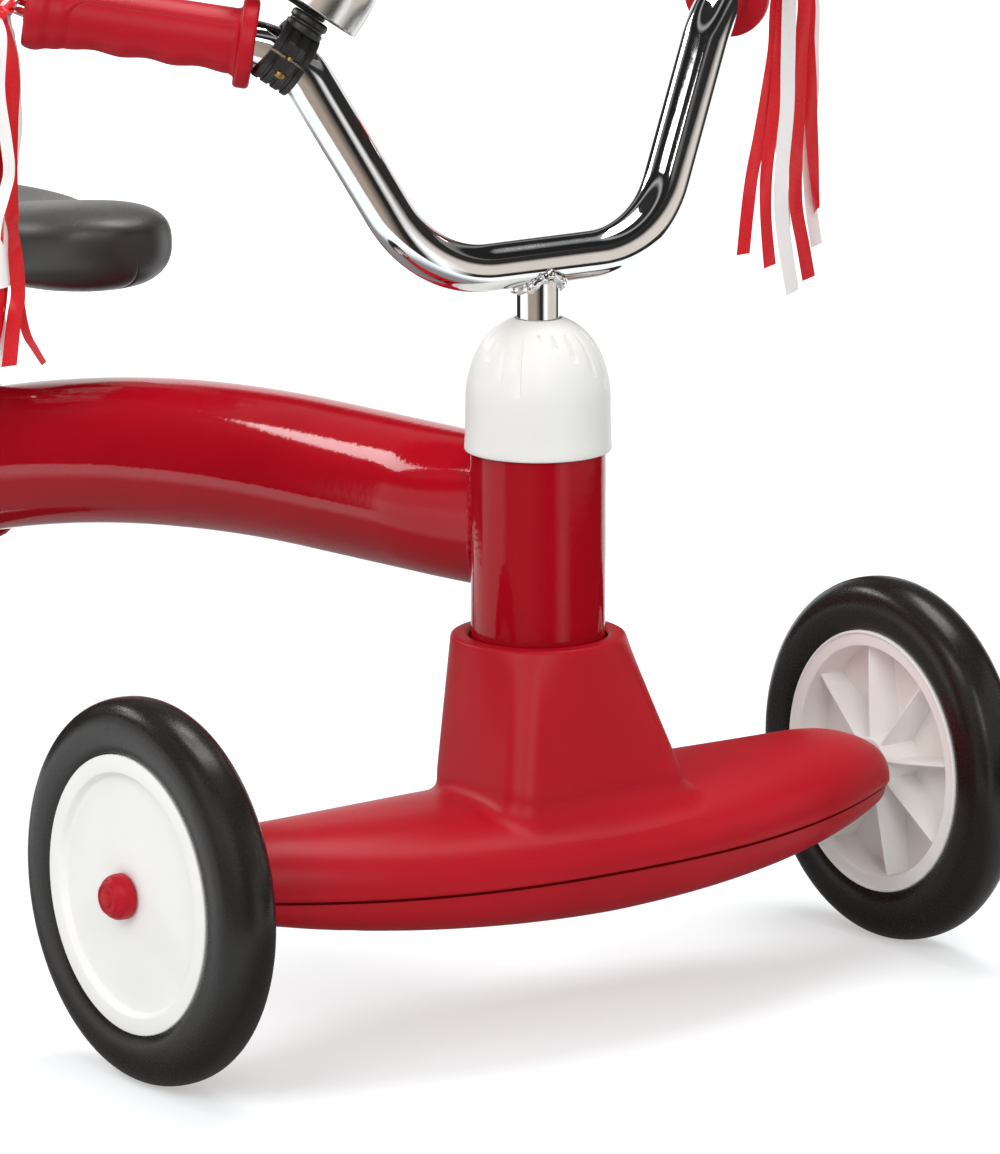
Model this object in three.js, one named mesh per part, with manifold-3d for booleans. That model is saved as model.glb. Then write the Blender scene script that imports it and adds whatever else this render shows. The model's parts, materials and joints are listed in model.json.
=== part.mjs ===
// Three wheel kids scooter: a toddler's ride-on with a curved steel beam, two wheels that steer in
// front, one wheel behind, a bow handlebar and a moulded saddle.
// Millimetres. The origin is on the ground at the middle of the wheelbase. +X is the rider's left,
// +Y is the rear and +Z is up. Places near the steering are measured from its vertical line.
import * as THREE from "three";
import { mergeVertices } from "three/addons/utils/BufferGeometryUtils.js";
import Module from "manifold-3d";

const wasm = await Module();
wasm.setup();

// Fits shared by all pieces
const seatGap = 0.3;
const cutOverrun = 2;
const mergeTolerance = 0.001;

// Wheels
const wheelbase = 500;
const frontTrack = 366;
const wheelDiameter = 152;
const tyreWidth = 25;
const tyreShoulder = 10.3;
const hubDiameter = 109.8;
const hubOuterFace = 11.2;
const hubInnerFace = 10.5;
const hubRingWidth = 7;
const hubRingStep = 3;
const hubWeb = 2.6;
const hubLip = 0.8;
const hubBossWall = 3.5;
const hubBossReach = 11.5;
const hubRibThickness = 1.8;
const hubRibRecess = 3.5;
const hubRibTurnShare = -1 / 45;
const bushWall = 1.9;
const axleRadius = 4;
const capRadius = 9;
const capLength = 9.7;
const capTipRadius = 4.2;

// Steering line, head tube and its bearings
const axleTrail = 3;
const headTubeRadius = 26.75;
const headTubeWall = 2;
const headTubeLength = 142;
const bushFlange = 3;
const bushSpigot = 18;
const stemRadius = 8.5;
const stemWall = 2;
const stemAboveAxle = 10;
const weldBulge = 2.5;
const weldDepth = 6;
const thrustRadius = 19;
const thrustThickness = 2;
const thrustGap = 0.4;

// White cap over the head of the tube
const capSkirtWall = 1.75;
const capDomeRise = 0.5;
const capSkirtGap = 1;
const capDomeHeight = 28.5;
const capWall = 2;
const capMouthGap = 1;
const fluteDepth = 1.6;
const fluteCount = 16;
const fluteRingShares = [[0.3, 0.9], [0.6, 1], [0.85, 0.7]];

// Main beam
const beamRadius = 31.5;
const beamFrontHalfHeight = 30;
const beamTaperLength = 250;
const beamWall = 2;
const beamFrontInset = 4.25;
const beamFlareLength = 70;
const beamBelowTubeTop = 54.5;
const beamStraightLength = 150;
const beamSlopeDegrees = 2.23;

// Rear fork
const forkAngleDegrees = 50;
const forkTyreGap = 9;
const forkSetForward = 7;
const crownWidth = 64;
const crownLength = 80;
const crownThickness = 4;
const crownCorner = 24;
const legTyreGap = 5.5;
const legThickness = 4;
const legTopWidth = 54;
const legEyeRadius = 13;
const boltHeadRim = 3;
const boltHeadThickness = 5;
const threadPastNut = 2;
const rearSpacerWall = 2.7;

// Handlebar, measured from the steering line and the ground
const barRadius = 9.5;
const barWall = 1.6;
const barAboveCap = 21;
const barLowHalf = 54;
const barUprightFlare = 48.3;
const barHighRise = 90;
const barHighSetBack = 21;
const barGripReach = 81.2;
const barEndRise = 105.6;
const barEndSetBack = 77;
const barLowBend = 48;
const barHighBend = 34;

// Grips
const gripWall = 2.7;
const gripFlangeRim = 5.3;
const gripFlangeThickness = 6;
const gripTipRim = 2.6;
const gripStart = 14;
const gripEndWall = 3;
const gripWaveDepth = 1.2;
const gripPlugInset = 1.9;
const gripWaves = 3;

// Streamers
const ribbonWidth = 6;
const ribbonThickness = 1;
const ribbonThrow = 11;
const ribbonDrop = 146;
const ribbonSpread = 17;

// Bell
const bellLeanShares = [0.621, -0.239, 0.746];
const clampWall = 2.8;
const clampWidth = 15.6;
const clampSplit = 1.2;
const bellBlockRadius = 7.8;
const bellBlockRise = 9.2;
const domeRadius = 18.1;
const domeHeight = 23.5;
const domeWall = 1.2;
const domeRimGap = 0.4;
const bellPostRadius = 2.2;
const leverThickness = 1.8;
const leverArmWidth = 10;
const leverPastDome = 18.9;
const leverPadThickness = 5;
const leverPadRadius = 8;
const leverHoleRadius = 3.4;
const clampScrewRadius = 1.6;
const clampLug = 6;

// Front housing: two moulded shells round the axle tube, with the boot round the head tube
const housingTipGap = 1.2;
const housingFront = 64;
const housingRear = 42;
const housingTipFront = 18;
const housingTipRear = 15;
const housingCrown = 25;
const housingDepth = 23;
const partingBelowAxle = 6;
const partingGroove = 1.5;
const housingWall = 3;
const housingRunout = 42;
const housingTipRounding = 15;
const tongueHeight = 3;
const bootHeight = 56.5;
const bootTopWall = 6.2;
const bootTubeGap = 1.85;
const bootBaseRise = 3;
const bootFlare = 5.6;
const bootCornerSidePast = 3;
const bootCornerFrontPast = 6.6;
const bootCornerRadius = 8;
const bootFillet = 8;
const bootRim = 1.6;
const screwBossRadius = 4.5;
const screwRadius = 1.8;
const screwHeadRadius = 3.6;
const screwHeadThickness = 2.4;
const screwLength = 20;

// Steel inside the housing
const axleTubeWall = 2.2;
const frontSpacerLength = 12.9;
const frontSpacerWall = 1.2;
const carrierThickness = 3;
const carrierInsideHalf = 13;
const carrierAboveAxle = 30;
const carrierBelowAxle = 12;
const carrierHalfDepth = 17;
const crossBoltRadius = 3;
const crossBoltAboveAxle = 19;
const crossBoltHeadRadius = 5.5;
const crossBoltHeadThickness = 4;

// Seat
const seatTubeAheadOfAxle = 73;
const seatTubeRadius = 14;
const seatTubeWall = 1.5;
const seatTubeRise = 22.5;
const seatPostWall = 2;
const seatPostLength = 78;
const seatPostShown = 24;
const seatPlateHalfWidth = 24;
const seatPlateEndMargin = 14;
const seatPlateThickness = 3;
const seatBoltSpacing = 76;
const seatBoltRadius = 2.5;
const seatBoltHeadRadius = 4.5;
const seatBoltHeadThickness = 3;
const seatBoltLength = 14;
const seatBossRadius = 7;
const knobBelowTop = 16;
const knobBossRadius = 7;
const knobBossReach = 8;
const knobScrewRadius = 3;
const knobRadius = 15;
const knobThickness = 10;
const knobLobes = 6;

// Saddle
const saddleNoseAhead = 141;
const saddleTailBehind = 70;
const saddleNoseHalf = 36.5;
const saddleTailHalf = 78.5;
const saddleDipRise = 21;
const saddleNoseRise = 19;
const saddleTailRise = 8;
const saddleNoseSkirt = 1;
const saddleTailSkirt = 10;
const saddleWall = 4;
const saddleRimWidth = 10;

// Facet counts
const bigSides = 28;
const tyreSides = 32;
const hubSides = 24;
const capSides = 16;
const midSides = 20;
const smallSides = 12;
const barBendSteps = 4;
const barSides = 14;
const gripSides = 14;
const housingArcSteps = 8;
const hollowArcSteps = 6;
const bootSides = 24;
const saddleSides = 16;
const ribbonSteps = 7;
const boreSides = 8;
const hexSides = 6;
const cornerSteps = 4;

const steeringY = -(wheelbase / 2 + axleTrail);
const frontAxleY = -wheelbase / 2;
const rearAxleY = wheelbase / 2;
const wheelRadius = wheelDiameter / 2;
const hubRadius = hubDiameter / 2;
const axleHeight = wheelRadius;
const halfTrack = frontTrack / 2;

// What follows from them along the axles
const axleBore = axleRadius + seatGap;
const hubBoreRadius = axleBore + bushWall + seatGap;
const hubBossRadius = hubBoreRadius + hubBossWall;
const boltHeadRadius = axleRadius + boltHeadRim;
const rearSpacerRadius = axleBore + rearSpacerWall;
const spacerRadius = axleBore + frontSpacerWall;
const axleTubeRadius = axleBore + axleTubeWall;
const frontSpacerEnd = halfTrack - hubBossReach - seatGap;
const axleTubeHalf = frontSpacerEnd - frontSpacerLength - seatGap;
const housingHalfLength = halfTrack - hubBossReach - housingTipGap;
const legGap = tyreWidth + 2 * legTyreGap;
const forkDrop = wheelRadius + forkTyreGap;

// What follows from them up the steering line
const partingHeight = axleHeight - partingBelowAxle;
const carrierBottom = axleHeight - carrierBelowAxle;
const carrierTop = axleHeight + carrierAboveAxle;
const crossBoltHeight = axleHeight + crossBoltAboveAxle;
const stemBottom = axleHeight + stemAboveAxle;
const weldRadius = stemRadius + weldBulge;
const headTubeBottom = carrierTop + thrustGap + thrustThickness + bushFlange + 2 * seatGap;
const headTubeTop = headTubeBottom + headTubeLength;
const bootBore = headTubeRadius + bootTubeGap;
const bootTopRadius = bootBore + bootTopWall;
const bootBaseRadius = bootTopRadius + bootFlare;
const bootCornerHalf = bootBaseRadius + bootCornerSidePast;
const bootCornerFront = bootBaseRadius + bootCornerFrontPast;
const bootBaseHeight = partingHeight + housingCrown + bootBaseRise;
const bootTop = bootBaseHeight + bootHeight;
const beamFrontHeight = headTubeTop - beamBelowTubeTop;
const beamFrontHalfWidth = headTubeRadius - beamFrontInset;
const capSkirtRadius = headTubeRadius + seatGap + capSkirtWall;
const capMouthRadius = stemRadius + capMouthGap;
const capDomeBase = headTubeTop + capDomeRise;

// What follows from them on the handlebar
const barLowHeight = capDomeBase + capDomeHeight + barAboveCap;
const barHighHalf = barLowHalf + barUprightFlare;
const barEndHalf = barHighHalf + barGripReach;
const gripRadius = barRadius + gripWall;
const gripFlangeRadius = gripRadius + gripFlangeRim;
const gripRimRadius = gripRadius + gripTipRim;
const gripPlugRadius = barRadius - barWall - gripPlugInset;
const bellBlockHeight = barRadius + bellBlockRise;
const domeRimHeight = bellBlockHeight + seatGap + leverThickness + domeRimGap;
const leverReach = domeRadius + leverPastDome;

// What follows from them under the rider
const seatY = rearAxleY - seatTubeAheadOfAxle;
const seatTubeTop = beamFrontHeight + seatTubeRise;
const seatPostTop = seatTubeTop + seatPostShown;
const seatPostBottom = seatPostTop - seatPostLength;
const knobHeight = seatTubeTop - knobBelowTop;
const seatPlateHalfLength = seatBoltSpacing / 2 + seatPlateEndMargin;
const saddleNose = seatY - steeringY - saddleNoseAhead;
const saddleTail = seatY - steeringY + saddleTailBehind;
const saddleDip = seatPostTop + saddleDipRise;
const saddleNoseTop = saddleDip + saddleNoseRise;
const saddleTailTop = saddleDip + saddleTailRise;
const saddleNoseBottom = seatPostTop + saddleNoseSkirt;
const saddleTailBottom = seatPostTop - saddleTailSkirt;
const scooter = new THREE.Group();

// Building helpers

function vec(x, y, z) {
  return new THREE.Vector3(x, y, z);
}

// A point measured back from the steering line
function atSteering(x, back, z) {
  return vec(x, steeringY + back, z);
}

function mix(a, b, share) {
  return a + (b - a) * share;
}

function shares(count) {
  return Array.from({ length: count + 1 }, (_, i) => i / count);
}

// A closed surface becomes a solid with its faces pointing out
function solidOf(geometry) {
  const plain = geometry.clone();
  plain.deleteAttribute("normal");
  plain.deleteAttribute("uv");
  const merged = mergeVertices(plain, mergeTolerance);
  const corners = merged.index.array;
  const faces = [];
  for (let i = 0; i < corners.length; i += 3) {
    const [a, b, c] = [corners[i], corners[i + 1], corners[i + 2]];
    if (a !== b && b !== c && c !== a) faces.push([a, b, c]);
  }
  const make = (list) =>
    new wasm.Manifold(
      new wasm.Mesh({
        numProp: 3,
        vertProperties: merged.attributes.position.array,
        triVerts: new Uint32Array(list.flat()),
      }),
    );
  const solid = make(faces);
  return solid.volume() < 0 ? make(faces.map(([a, b, c]) => [a, c, b])) : solid;
}

function geometryOf(solid) {
  const mesh = solid.getMesh();
  const geometry = new THREE.BufferGeometry();
  const points = new Float32Array(mesh.vertProperties);
  geometry.setAttribute("position", new THREE.BufferAttribute(points, 3));
  geometry.setIndex(new THREE.BufferAttribute(new Uint32Array(mesh.triVerts), 1));
  geometry.computeVertexNormals();
  return geometry;
}

function joined(first, ...others) {
  return others.reduce((sum, next) => sum.add(next), first);
}

function cutBy(first, ...others) {
  return others.reduce((rest, next) => rest.subtract(next), first);
}

// A profile of [radius, height] corners turned about the x, y or z axis
function revolved(profile, sides, axis) {
  const points = [...profile, profile[0]].map(([radius, along]) => new THREE.Vector2(radius, along));
  const geometry = new THREE.LatheGeometry(points, sides);
  if (axis === "x") geometry.rotateZ(-Math.PI / 2);
  if (axis === "z") geometry.rotateX(Math.PI / 2);
  return solidOf(geometry);
}

function rod(radius, from, to, sides, axis) {
  return revolved([[0, from], [radius, from], [radius, to], [0, to]], sides, axis);
}

function sleeve(inner, outer, from, to, sides, axis) {
  return revolved([[inner, from], [outer, from], [outer, to], [inner, to]], sides, axis);
}

// A six-sided nut along x, bored to clear its thread
function nut(threadRadius, outer, from, to) {
  const past = threadRadius;
  return cutBy(
    rod(outer, from, to, hexSides, "x"),
    rod(threadRadius + seatGap, from - past, to + past, smallSides, "x"),
  );
}

function block(low, high) {
  const size = high.clone().sub(low);
  const middle = high.clone().add(low).multiplyScalar(1 / 2);
  const geometry = new THREE.BoxGeometry(size.x, size.y, size.z);
  return solidOf(geometry.translate(middle.x, middle.y, middle.z));
}

// A skin through rings of equal length, closed at both ends
function lofted(rings) {
  const count = rings[0].length;
  const points = rings.flat();
  const index = [];
  for (let ring = 0; ring + 1 < rings.length; ring += 1) {
    for (let i = 0; i < count; i += 1) {
      const a = ring * count + i;
      const b = ring * count + ((i + 1) % count);
      index.push(a, b, b + count, a, b + count, a + count);
    }
  }
  [0, rings.length - 1].forEach((ring) => {
    const middle = vec(0, 0, 0);
    rings[ring].forEach((point) => middle.add(point));
    points.push(middle.divideScalar(count));
    for (let i = 0; i < count; i += 1) {
      const pair = [ring * count + i, ring * count + ((i + 1) % count)];
      if (ring === 0) pair.reverse();
      index.push(points.length - 1, ...pair);
    }
  });
  const geometry = new THREE.BufferGeometry();
  geometry.setAttribute("position", new THREE.Float32BufferAttribute(points.flatMap((p) => p.toArray()), 3));
  geometry.setIndex(index);
  return solidOf(geometry);
}

// A flat outline of [y, z] corners given a thickness along x
function plateAcross(outline, from, to) {
  const shape = new THREE.Shape(outline.map(([y, z]) => new THREE.Vector2(y, z)));
  const geometry = new THREE.ExtrudeGeometry(shape, { depth: to - from, bevelEnabled: false });
  geometry.applyMatrix4(new THREE.Matrix4().makeBasis(vec(0, 1, 0), vec(0, 0, 1), vec(1, 0, 0)));
  return solidOf(geometry.translate(from, 0, 0));
}

// Moves a solid so that its own x, y and z lie along three given directions
function placed(solid, origin, xAxis, yAxis, zAxis) {
  const frame = new THREE.Matrix4().makeBasis(xAxis, yAxis, zAxis).setPosition(origin);
  return solid.transform(frame.elements);
}

// A route of straight runs and round bends, with its steps only in the bends
class BentRoute extends THREE.Curve {
  constructor(corners, bends, bendSteps) {
    super();
    this.stations = [];
    corners.forEach((corner, i) => {
      if (i === 0 || i === corners.length - 1) {
        const other = i === 0 ? corners[1] : corners[i - 1];
        const way = other.clone().sub(corner).multiplyScalar(i === 0 ? 1 : -1).normalize();
        this.stations.push({ point: corner.clone(), way });
        return;
      }
      const before = corner.clone().sub(corners[i - 1]).normalize();
      const after = corners[i + 1].clone().sub(corner).normalize();
      const angle = before.angleTo(after);
      const hinge = before.clone().cross(after).normalize();
      const start = corner.clone().addScaledVector(before, -bends[i - 1] * Math.tan(angle / 2));
      const inward = hinge.clone().cross(before);
      const centre = start.clone().addScaledVector(inward, bends[i - 1]);
      shares(bendSteps).forEach((share) => {
        const arm = start.clone().sub(centre).applyAxisAngle(hinge, angle * share);
        const way = before.clone().applyAxisAngle(hinge, angle * share);
        this.stations.push({ point: arm.add(centre), way });
      });
    });
  }
  between(t, key) {
    const last = this.stations.length - 1;
    const step = Math.min(Math.floor(t * last), last - 1);
    return this.stations[step][key].clone().lerp(this.stations[step + 1][key], t * last - step);
  }
  getPoint(t) {
    return this.between(t, "point");
  }
  getPointAt(t) {
    return this.between(t, "point");
  }
  getTangentAt(t) {
    return this.between(t, "way").normalize();
  }
}

function sweptTube(route, radius, sides) {
  const shape = new THREE.Shape().absarc(0, 0, radius, 0, 2 * Math.PI);
  const steps = route.stations.length - 1;
  const options = { steps, curveSegments: sides / 2, extrudePath: route, bevelEnabled: false };
  return solidOf(new THREE.ExtrudeGeometry(shape, options));
}

function finish(color, roughness, metalness) {
  return { color, roughness, metalness };
}

const paintedRed = finish(0xa80f1f, 0.18, 0);
const mouldedRed = finish(0xc8192a, 0.42, 0);
const whitePlastic = finish(0xf0efea, 0.4, 0);
const hubWhite = finish(0xe6e2dc, 0.45, 0);
const tyreBlack = finish(0x2b2927, 0.5, 0);
const chrome = finish(0xd8dadc, 0.06, 1);
const brushedChrome = finish(0xc9cacb, 0.28, 1);
const blackPlastic = finish(0x1d1c1b, 0.5, 0);
const saddleBlack = finish(0x302e2d, 0.4, 0);
const zincSteel = finish(0x9fa3a6, 0.35, 1);
const brass = finish(0xb08a4a, 0.35, 1);
const nylon = finish(0xdcd8cc, 0.55, 0);
const ribbonRed = finish(0xcc1b28, 0.35, 0);

function add(name, solid, look) {
  const mesh = new THREE.Mesh(geometryOf(solid), new THREE.MeshStandardMaterial(look));
  mesh.name = name;
  scooter.add(mesh);
}

// Wheels, drawn with their outer face towards +X

function tyre() {
  const crownCentre = mix(hubRadius, wheelRadius, 0.45);
  const upper = wheelRadius - crownCentre;
  const power = 2.3;
  const profile = [];
  shares(4).forEach((share) => {
    const angle = Math.PI * share;
    const along = -Math.sign(Math.cos(angle)) * Math.abs(Math.cos(angle)) ** (2 / power);
    profile.push([crownCentre + upper * Math.sin(angle) ** (2 / power), along * tyreWidth / 2]);
  });
  const seat = hubRadius + seatGap;
  profile.push([seat, tyreShoulder], [seat, -tyreShoulder]);
  return revolved(profile, tyreSides, "x");
}

function hub() {
  const stepFace = hubOuterFace - hubRingStep;
  const ringInner = hubRadius - hubRingWidth;
  const profile = [
    [hubBoreRadius, -hubBossReach],
    [hubBossRadius, -hubBossReach],
    [hubBossRadius, hubOuterFace - 2 * hubWeb],
    [ringInner, stepFace - 1.5 * hubWeb],
    [ringInner, -hubInnerFace],
    [hubRadius - 2 * hubLip, -hubInnerFace],
    [hubRadius - hubLip, -hubInnerFace - hubLip],
    [hubRadius, -hubInnerFace],
    [hubRadius, hubOuterFace],
    [ringInner, hubOuterFace],
    [ringInner - hubLip, stepFace],
    [hubBossRadius + hubWeb, hubOuterFace - hubLip / 2],
    [hubBoreRadius, hubOuterFace - hubLip / 2],
  ];
  const body = revolved(profile, hubSides, "x");
  const ribInner = hubBossRadius - hubWeb / 2;
  const rib = [
    [ribInner, stepFace],
    [ribInner, -hubInnerFace + hubLip],
    [ringInner + hubWeb, -hubInnerFace + hubRibRecess],
    [ringInner + hubWeb, stepFace - hubWeb],
  ];
  const ribs = shares(8).slice(1).map((share) => {
    const shape = new THREE.Shape(rib.map(([out, along]) => new THREE.Vector2(along, out)));
    const geometry = new THREE.ExtrudeGeometry(shape, { depth: hubRibThickness, bevelEnabled: false });
    geometry.translate(0, 0, -hubRibThickness / 2);
    geometry.rotateX(2 * Math.PI * (share + hubRibTurnShare));
    return solidOf(geometry);
  });
  return joined(body, ...ribs);
}

function wheelBush() {
  const inner = axleBore;
  return sleeve(inner, inner + bushWall, -hubBossReach, hubOuterFace - hubLip / 2, smallSides, "x");
}

function addWheel(name, side, x, y) {
  const out = vec(side, 0, 0);
  const back = vec(0, side, 0);
  const place = (solid) => placed(solid, vec(x, y, axleHeight), out, back, vec(0, 0, 1));
  add(`${name}_tyre`, place(tyre()), tyreBlack);
  add(`${name}_hub`, place(hub()), hubWhite);
  add(`${name}_bush`, place(wheelBush()), nylon);
}

addWheel("front_left", 1, halfTrack, frontAxleY);
addWheel("front_right", -1, -halfTrack, frontAxleY);
addWheel("rear", 1, 0, rearAxleY);

// Front axle, its tube, the spacers at the tips and the round caps on its ends

const axleReach = halfTrack + hubOuterFace + capLength - capTipRadius;
const frontAxle = rod(axleRadius, -axleReach, axleReach, smallSides, "x");
const atFrontAxle = (solid) => solid.translate([0, frontAxleY, axleHeight]);
const axleTube = sleeve(axleBore, axleTubeRadius, -axleTubeHalf, axleTubeHalf, smallSides, "x");
add("front_axle", atFrontAxle(frontAxle), zincSteel);
add("axle_tube", atFrontAxle(axleTube), zincSteel);

function axleCap() {
  const start = hubOuterFace + seatGap;
  const end = start + capLength;
  const bore = axleBore;
  const depth = start + capLength - capTipRadius + seatGap;
  return revolved(
    [
      [bore, start],
      [capRadius, start],
      [capRadius, mix(start, end, 0.45)],
      [mix(capRadius, capTipRadius, 0.35), mix(start, end, 0.78)],
      [capTipRadius, mix(start, end, 0.95)],
      [capTipRadius / 2, end],
      [0, end],
      [0, depth],
      [bore, depth],
    ],
    smallSides,
    "x",
  );
}

[["left", 1], ["right", -1]].forEach(([name, side]) => {
  const axes = [vec(side, 0, 0), vec(0, side, 0), vec(0, 0, 1)];
  const cap = placed(axleCap(), vec(side * halfTrack, frontAxleY, axleHeight), ...axes);
  add(`axle_cap_${name}`, cap, mouldedRed);
  const spacerStart = axleTubeHalf + seatGap;
  const spacer = sleeve(axleBore, spacerRadius, spacerStart, frontSpacerEnd, smallSides, "x");
  add(`front_spacer_${name}`, placed(spacer, vec(0, frontAxleY, axleHeight), ...axes), nylon);
});

// Handlebar bow, its stem and the weld between them

function barCorner(side, half, back, rise) {
  return atSteering(side * half, back, barLowHeight + rise);
}

// The bar's route from end to end, run past both ends by a given length
function barRouteTo(past) {
  const halfRoute = (side) => {
    const high = barCorner(side, barHighHalf, barHighSetBack, barHighRise);
    const end = barCorner(side, barEndHalf, barEndSetBack, barEndRise);
    end.addScaledVector(end.clone().sub(high).normalize(), past);
    return [end, high, barCorner(side, barLowHalf, 0, 0)];
  };
  const bends = [barHighBend, barLowBend, barLowBend, barHighBend];
  return new BentRoute([...halfRoute(-1), ...halfRoute(1).reverse()], bends, barBendSteps);
}

const barRoute = barRouteTo(0);
const barBore = sweptTube(barRouteTo(cutOverrun), barRadius - barWall, boreSides);
const barClearance = sweptTube(barRoute, barRadius + seatGap, barSides);
add("handlebar", cutBy(sweptTube(barRoute, barRadius, barSides), barBore), chrome);

const stemBore = stemRadius - stemWall;
const weldTop = barLowHeight - barRadius / 2;
const weldFoot = barLowHeight - barRadius - weldDepth;
const weldBead = revolved(
  [
    [stemBore, weldFoot],
    [stemRadius, weldFoot],
    [weldRadius, mix(weldFoot, weldTop, 0.3)],
    [weldRadius, mix(weldFoot, weldTop, 0.7)],
    [stemRadius, weldTop],
    [stemBore, weldTop],
  ],
  capSides,
  "z",
);
const stemBolthole = rod(crossBoltRadius + seatGap, -stemRadius * 2, stemRadius * 2, smallSides, "x");
const stemTube = sleeve(stemBore, stemRadius, stemBottom, weldTop, capSides, "z");
const stemSolid = joined(stemTube, weldBead).translate([0, steeringY, 0]);
add(
  "stem",
  cutBy(stemSolid, barClearance, stemBolthole.translate([0, steeringY, crossBoltHeight])),
  chrome,
);

// Grips and streamers. A grip's own frame runs out along the bar, with its underside down.

function gripFrame(side) {
  const end = barCorner(side, barEndHalf, barEndSetBack, barEndRise);
  const corner = barCorner(side, barHighHalf, barHighSetBack, barHighRise);
  const length = end.distanceTo(corner);
  const out = end.clone().sub(corner).normalize();
  const across = out.clone().cross(vec(0, 0, 1)).normalize();
  const up = across.clone().cross(out);
  return { end, corner, length, out, across, up };
}

function grip(side) {
  const { corner, length, out, across, up } = gripFrame(side);
  const tip = length + gripEndWall;
  const bodyStart = gripStart + gripFlangeThickness;
  const waveStart = mix(bodyStart, tip, 0.12);
  const waveEnd = mix(bodyStart, tip, 0.88);
  const ring = (along, radius, wave) =>
    shares(gripSides).slice(1).map((share) => {
      const angle = 2 * Math.PI * share;
      const under = Math.max(0, -Math.sin(angle));
      const reach = radius + wave * under;
      const point = corner.clone().addScaledVector(out, along);
      point.addScaledVector(across, reach * Math.cos(angle));
      return point.addScaledVector(up, reach * Math.sin(angle));
    });
  const fingers = shares(2 * gripWaves).map((share) => {
    const wave = gripWaveDepth * (1 - Math.cos(2 * Math.PI * gripWaves * share)) / 2;
    return ring(mix(waveStart, waveEnd, share), gripRadius - gripWaveDepth / 2, wave);
  });
  const rings = [
    ring(gripStart, gripFlangeRadius - gripFlangeThickness / 4, 0),
    ring(mix(gripStart, bodyStart, 0.5), gripFlangeRadius, 0),
    ring(bodyStart, gripFlangeRadius - gripFlangeThickness / 4, 0),
    ring(bodyStart, gripRadius, 0),
    ...fingers,
    ring(mix(waveEnd, tip, 0.6), gripRimRadius, 0),
    ring(tip, gripRimRadius - gripEndWall / 2, 0),
  ];
  const hole = rod(gripPlugRadius + seatGap, length - cutOverrun, tip + cutOverrun, smallSides, "z");
  return cutBy(lofted(rings), barClearance, placed(hole, corner, across, up, out));
}

// Ribbons in two layers, three in each. Their shares place the root across the plug, spread the
// foot along the scooter and set the length; the layer sets how far out the ribbon hangs.
const ribbonPlaceShares = [
  [-1, -1, 0.88, 1],
  [0, -0.12, 1, 1],
  [1, 0.78, 0.93, 1],
  [-1, -0.55, 0.97, -1],
  [0, 0.34, 0.86, -1],
  [1, 1, 0.94, -1],
];

function streamers(side) {
  const { corner, length, out, across, up } = gripFrame(side);
  const rearward = across.clone().multiplyScalar(-side);
  const plugEnd = length + gripEndWall + gripEndWall / 2;
  const plug = rod(gripPlugRadius, length - gripPlugRadius, plugEnd, smallSides, "z");
  const rootHalf = gripPlugRadius / 3 - ribbonThickness / 4;
  const ribbons = ribbonPlaceShares.map(([rootShare, spreadShare, dropShare, layer]) => {
    const root = corner.clone().addScaledVector(out, plugEnd - ribbonThickness);
    root.addScaledVector(rearward, rootShare * gripPlugRadius * 0.66);
    root.addScaledVector(up, layer * gripPlugRadius * (0.6 - 0.25 * Math.abs(rootShare)));
    const throwOut = ribbonThrow * (1 + layer * 0.3);
    const crest = root.clone().addScaledVector(out, throwOut * 0.55);
    crest.addScaledVector(up, ribbonThickness * (1 + layer));
    const hang = root.clone().addScaledVector(out, throwOut).add(vec(0, 0, -ribbonDrop * 0.1));
    hang.addScaledVector(rearward, spreadShare * ribbonSpread * 0.35 - rootShare * gripPlugRadius * 0.1);
    const foot = root.clone().addScaledVector(out, throwOut * 1.1).add(vec(0, 0, -ribbonDrop * dropShare));
    foot.addScaledVector(rearward, spreadShare * ribbonSpread);
    const route = new THREE.CatmullRomCurve3([root, crest, hang, hang.clone().lerp(foot, 0.5), foot]);
    const rings = shares(ribbonSteps).map((share) => {
      const at = route.getPoint(share);
      const way = route.getTangent(share);
      const wide = across.clone().addScaledVector(way, -across.dot(way)).normalize();
      const thick = way.clone().cross(wide).multiplyScalar(ribbonThickness / 2);
      wide.multiplyScalar(mix(rootHalf, ribbonWidth / 2, Math.min(1, share * 3)));
      return [[1, 1], [-1, 1], [-1, -1], [1, -1]].map(([w, t]) =>
        at.clone().addScaledVector(wide, w).addScaledVector(thick, t),
      );
    });
    return lofted(rings);
  });
  return joined(placed(plug, corner, across, up, out), ...ribbons);
}

[["left", 1], ["right", -1]].forEach(([name, side]) => {
  add(`grip_${name}`, grip(side), mouldedRed);
  add(`streamers_${name}`, streamers(side), ribbonRed);
});

// Bell on the right end of the bow, in the middle of the upper bend

function bellFrame() {
  const end = barCorner(-1, barEndHalf, barEndSetBack, barEndRise);
  const high = barCorner(-1, barHighHalf, barHighSetBack, barHighRise);
  const low = barCorner(-1, barLowHalf, 0, 0);
  const outward = end.sub(high).normalize();
  const downward = low.sub(high).normalize();
  const along = outward.clone().sub(downward).normalize();
  const inside = outward.clone().add(downward).normalize();
  const bend = Math.PI - outward.angleTo(downward);
  const origin = high.clone().addScaledVector(inside, barHighBend * (1 / Math.cos(bend / 2) - 1));
  const rise = vec(...bellLeanShares);
  rise.addScaledVector(along, -rise.dot(along)).normalize();
  return { origin, along, rise, side: rise.clone().cross(along) };
}

const bell = bellFrame();
const bellPlaced = (solid) => placed(solid, bell.origin, bell.along, bell.side.clone().negate(), bell.rise);

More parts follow.
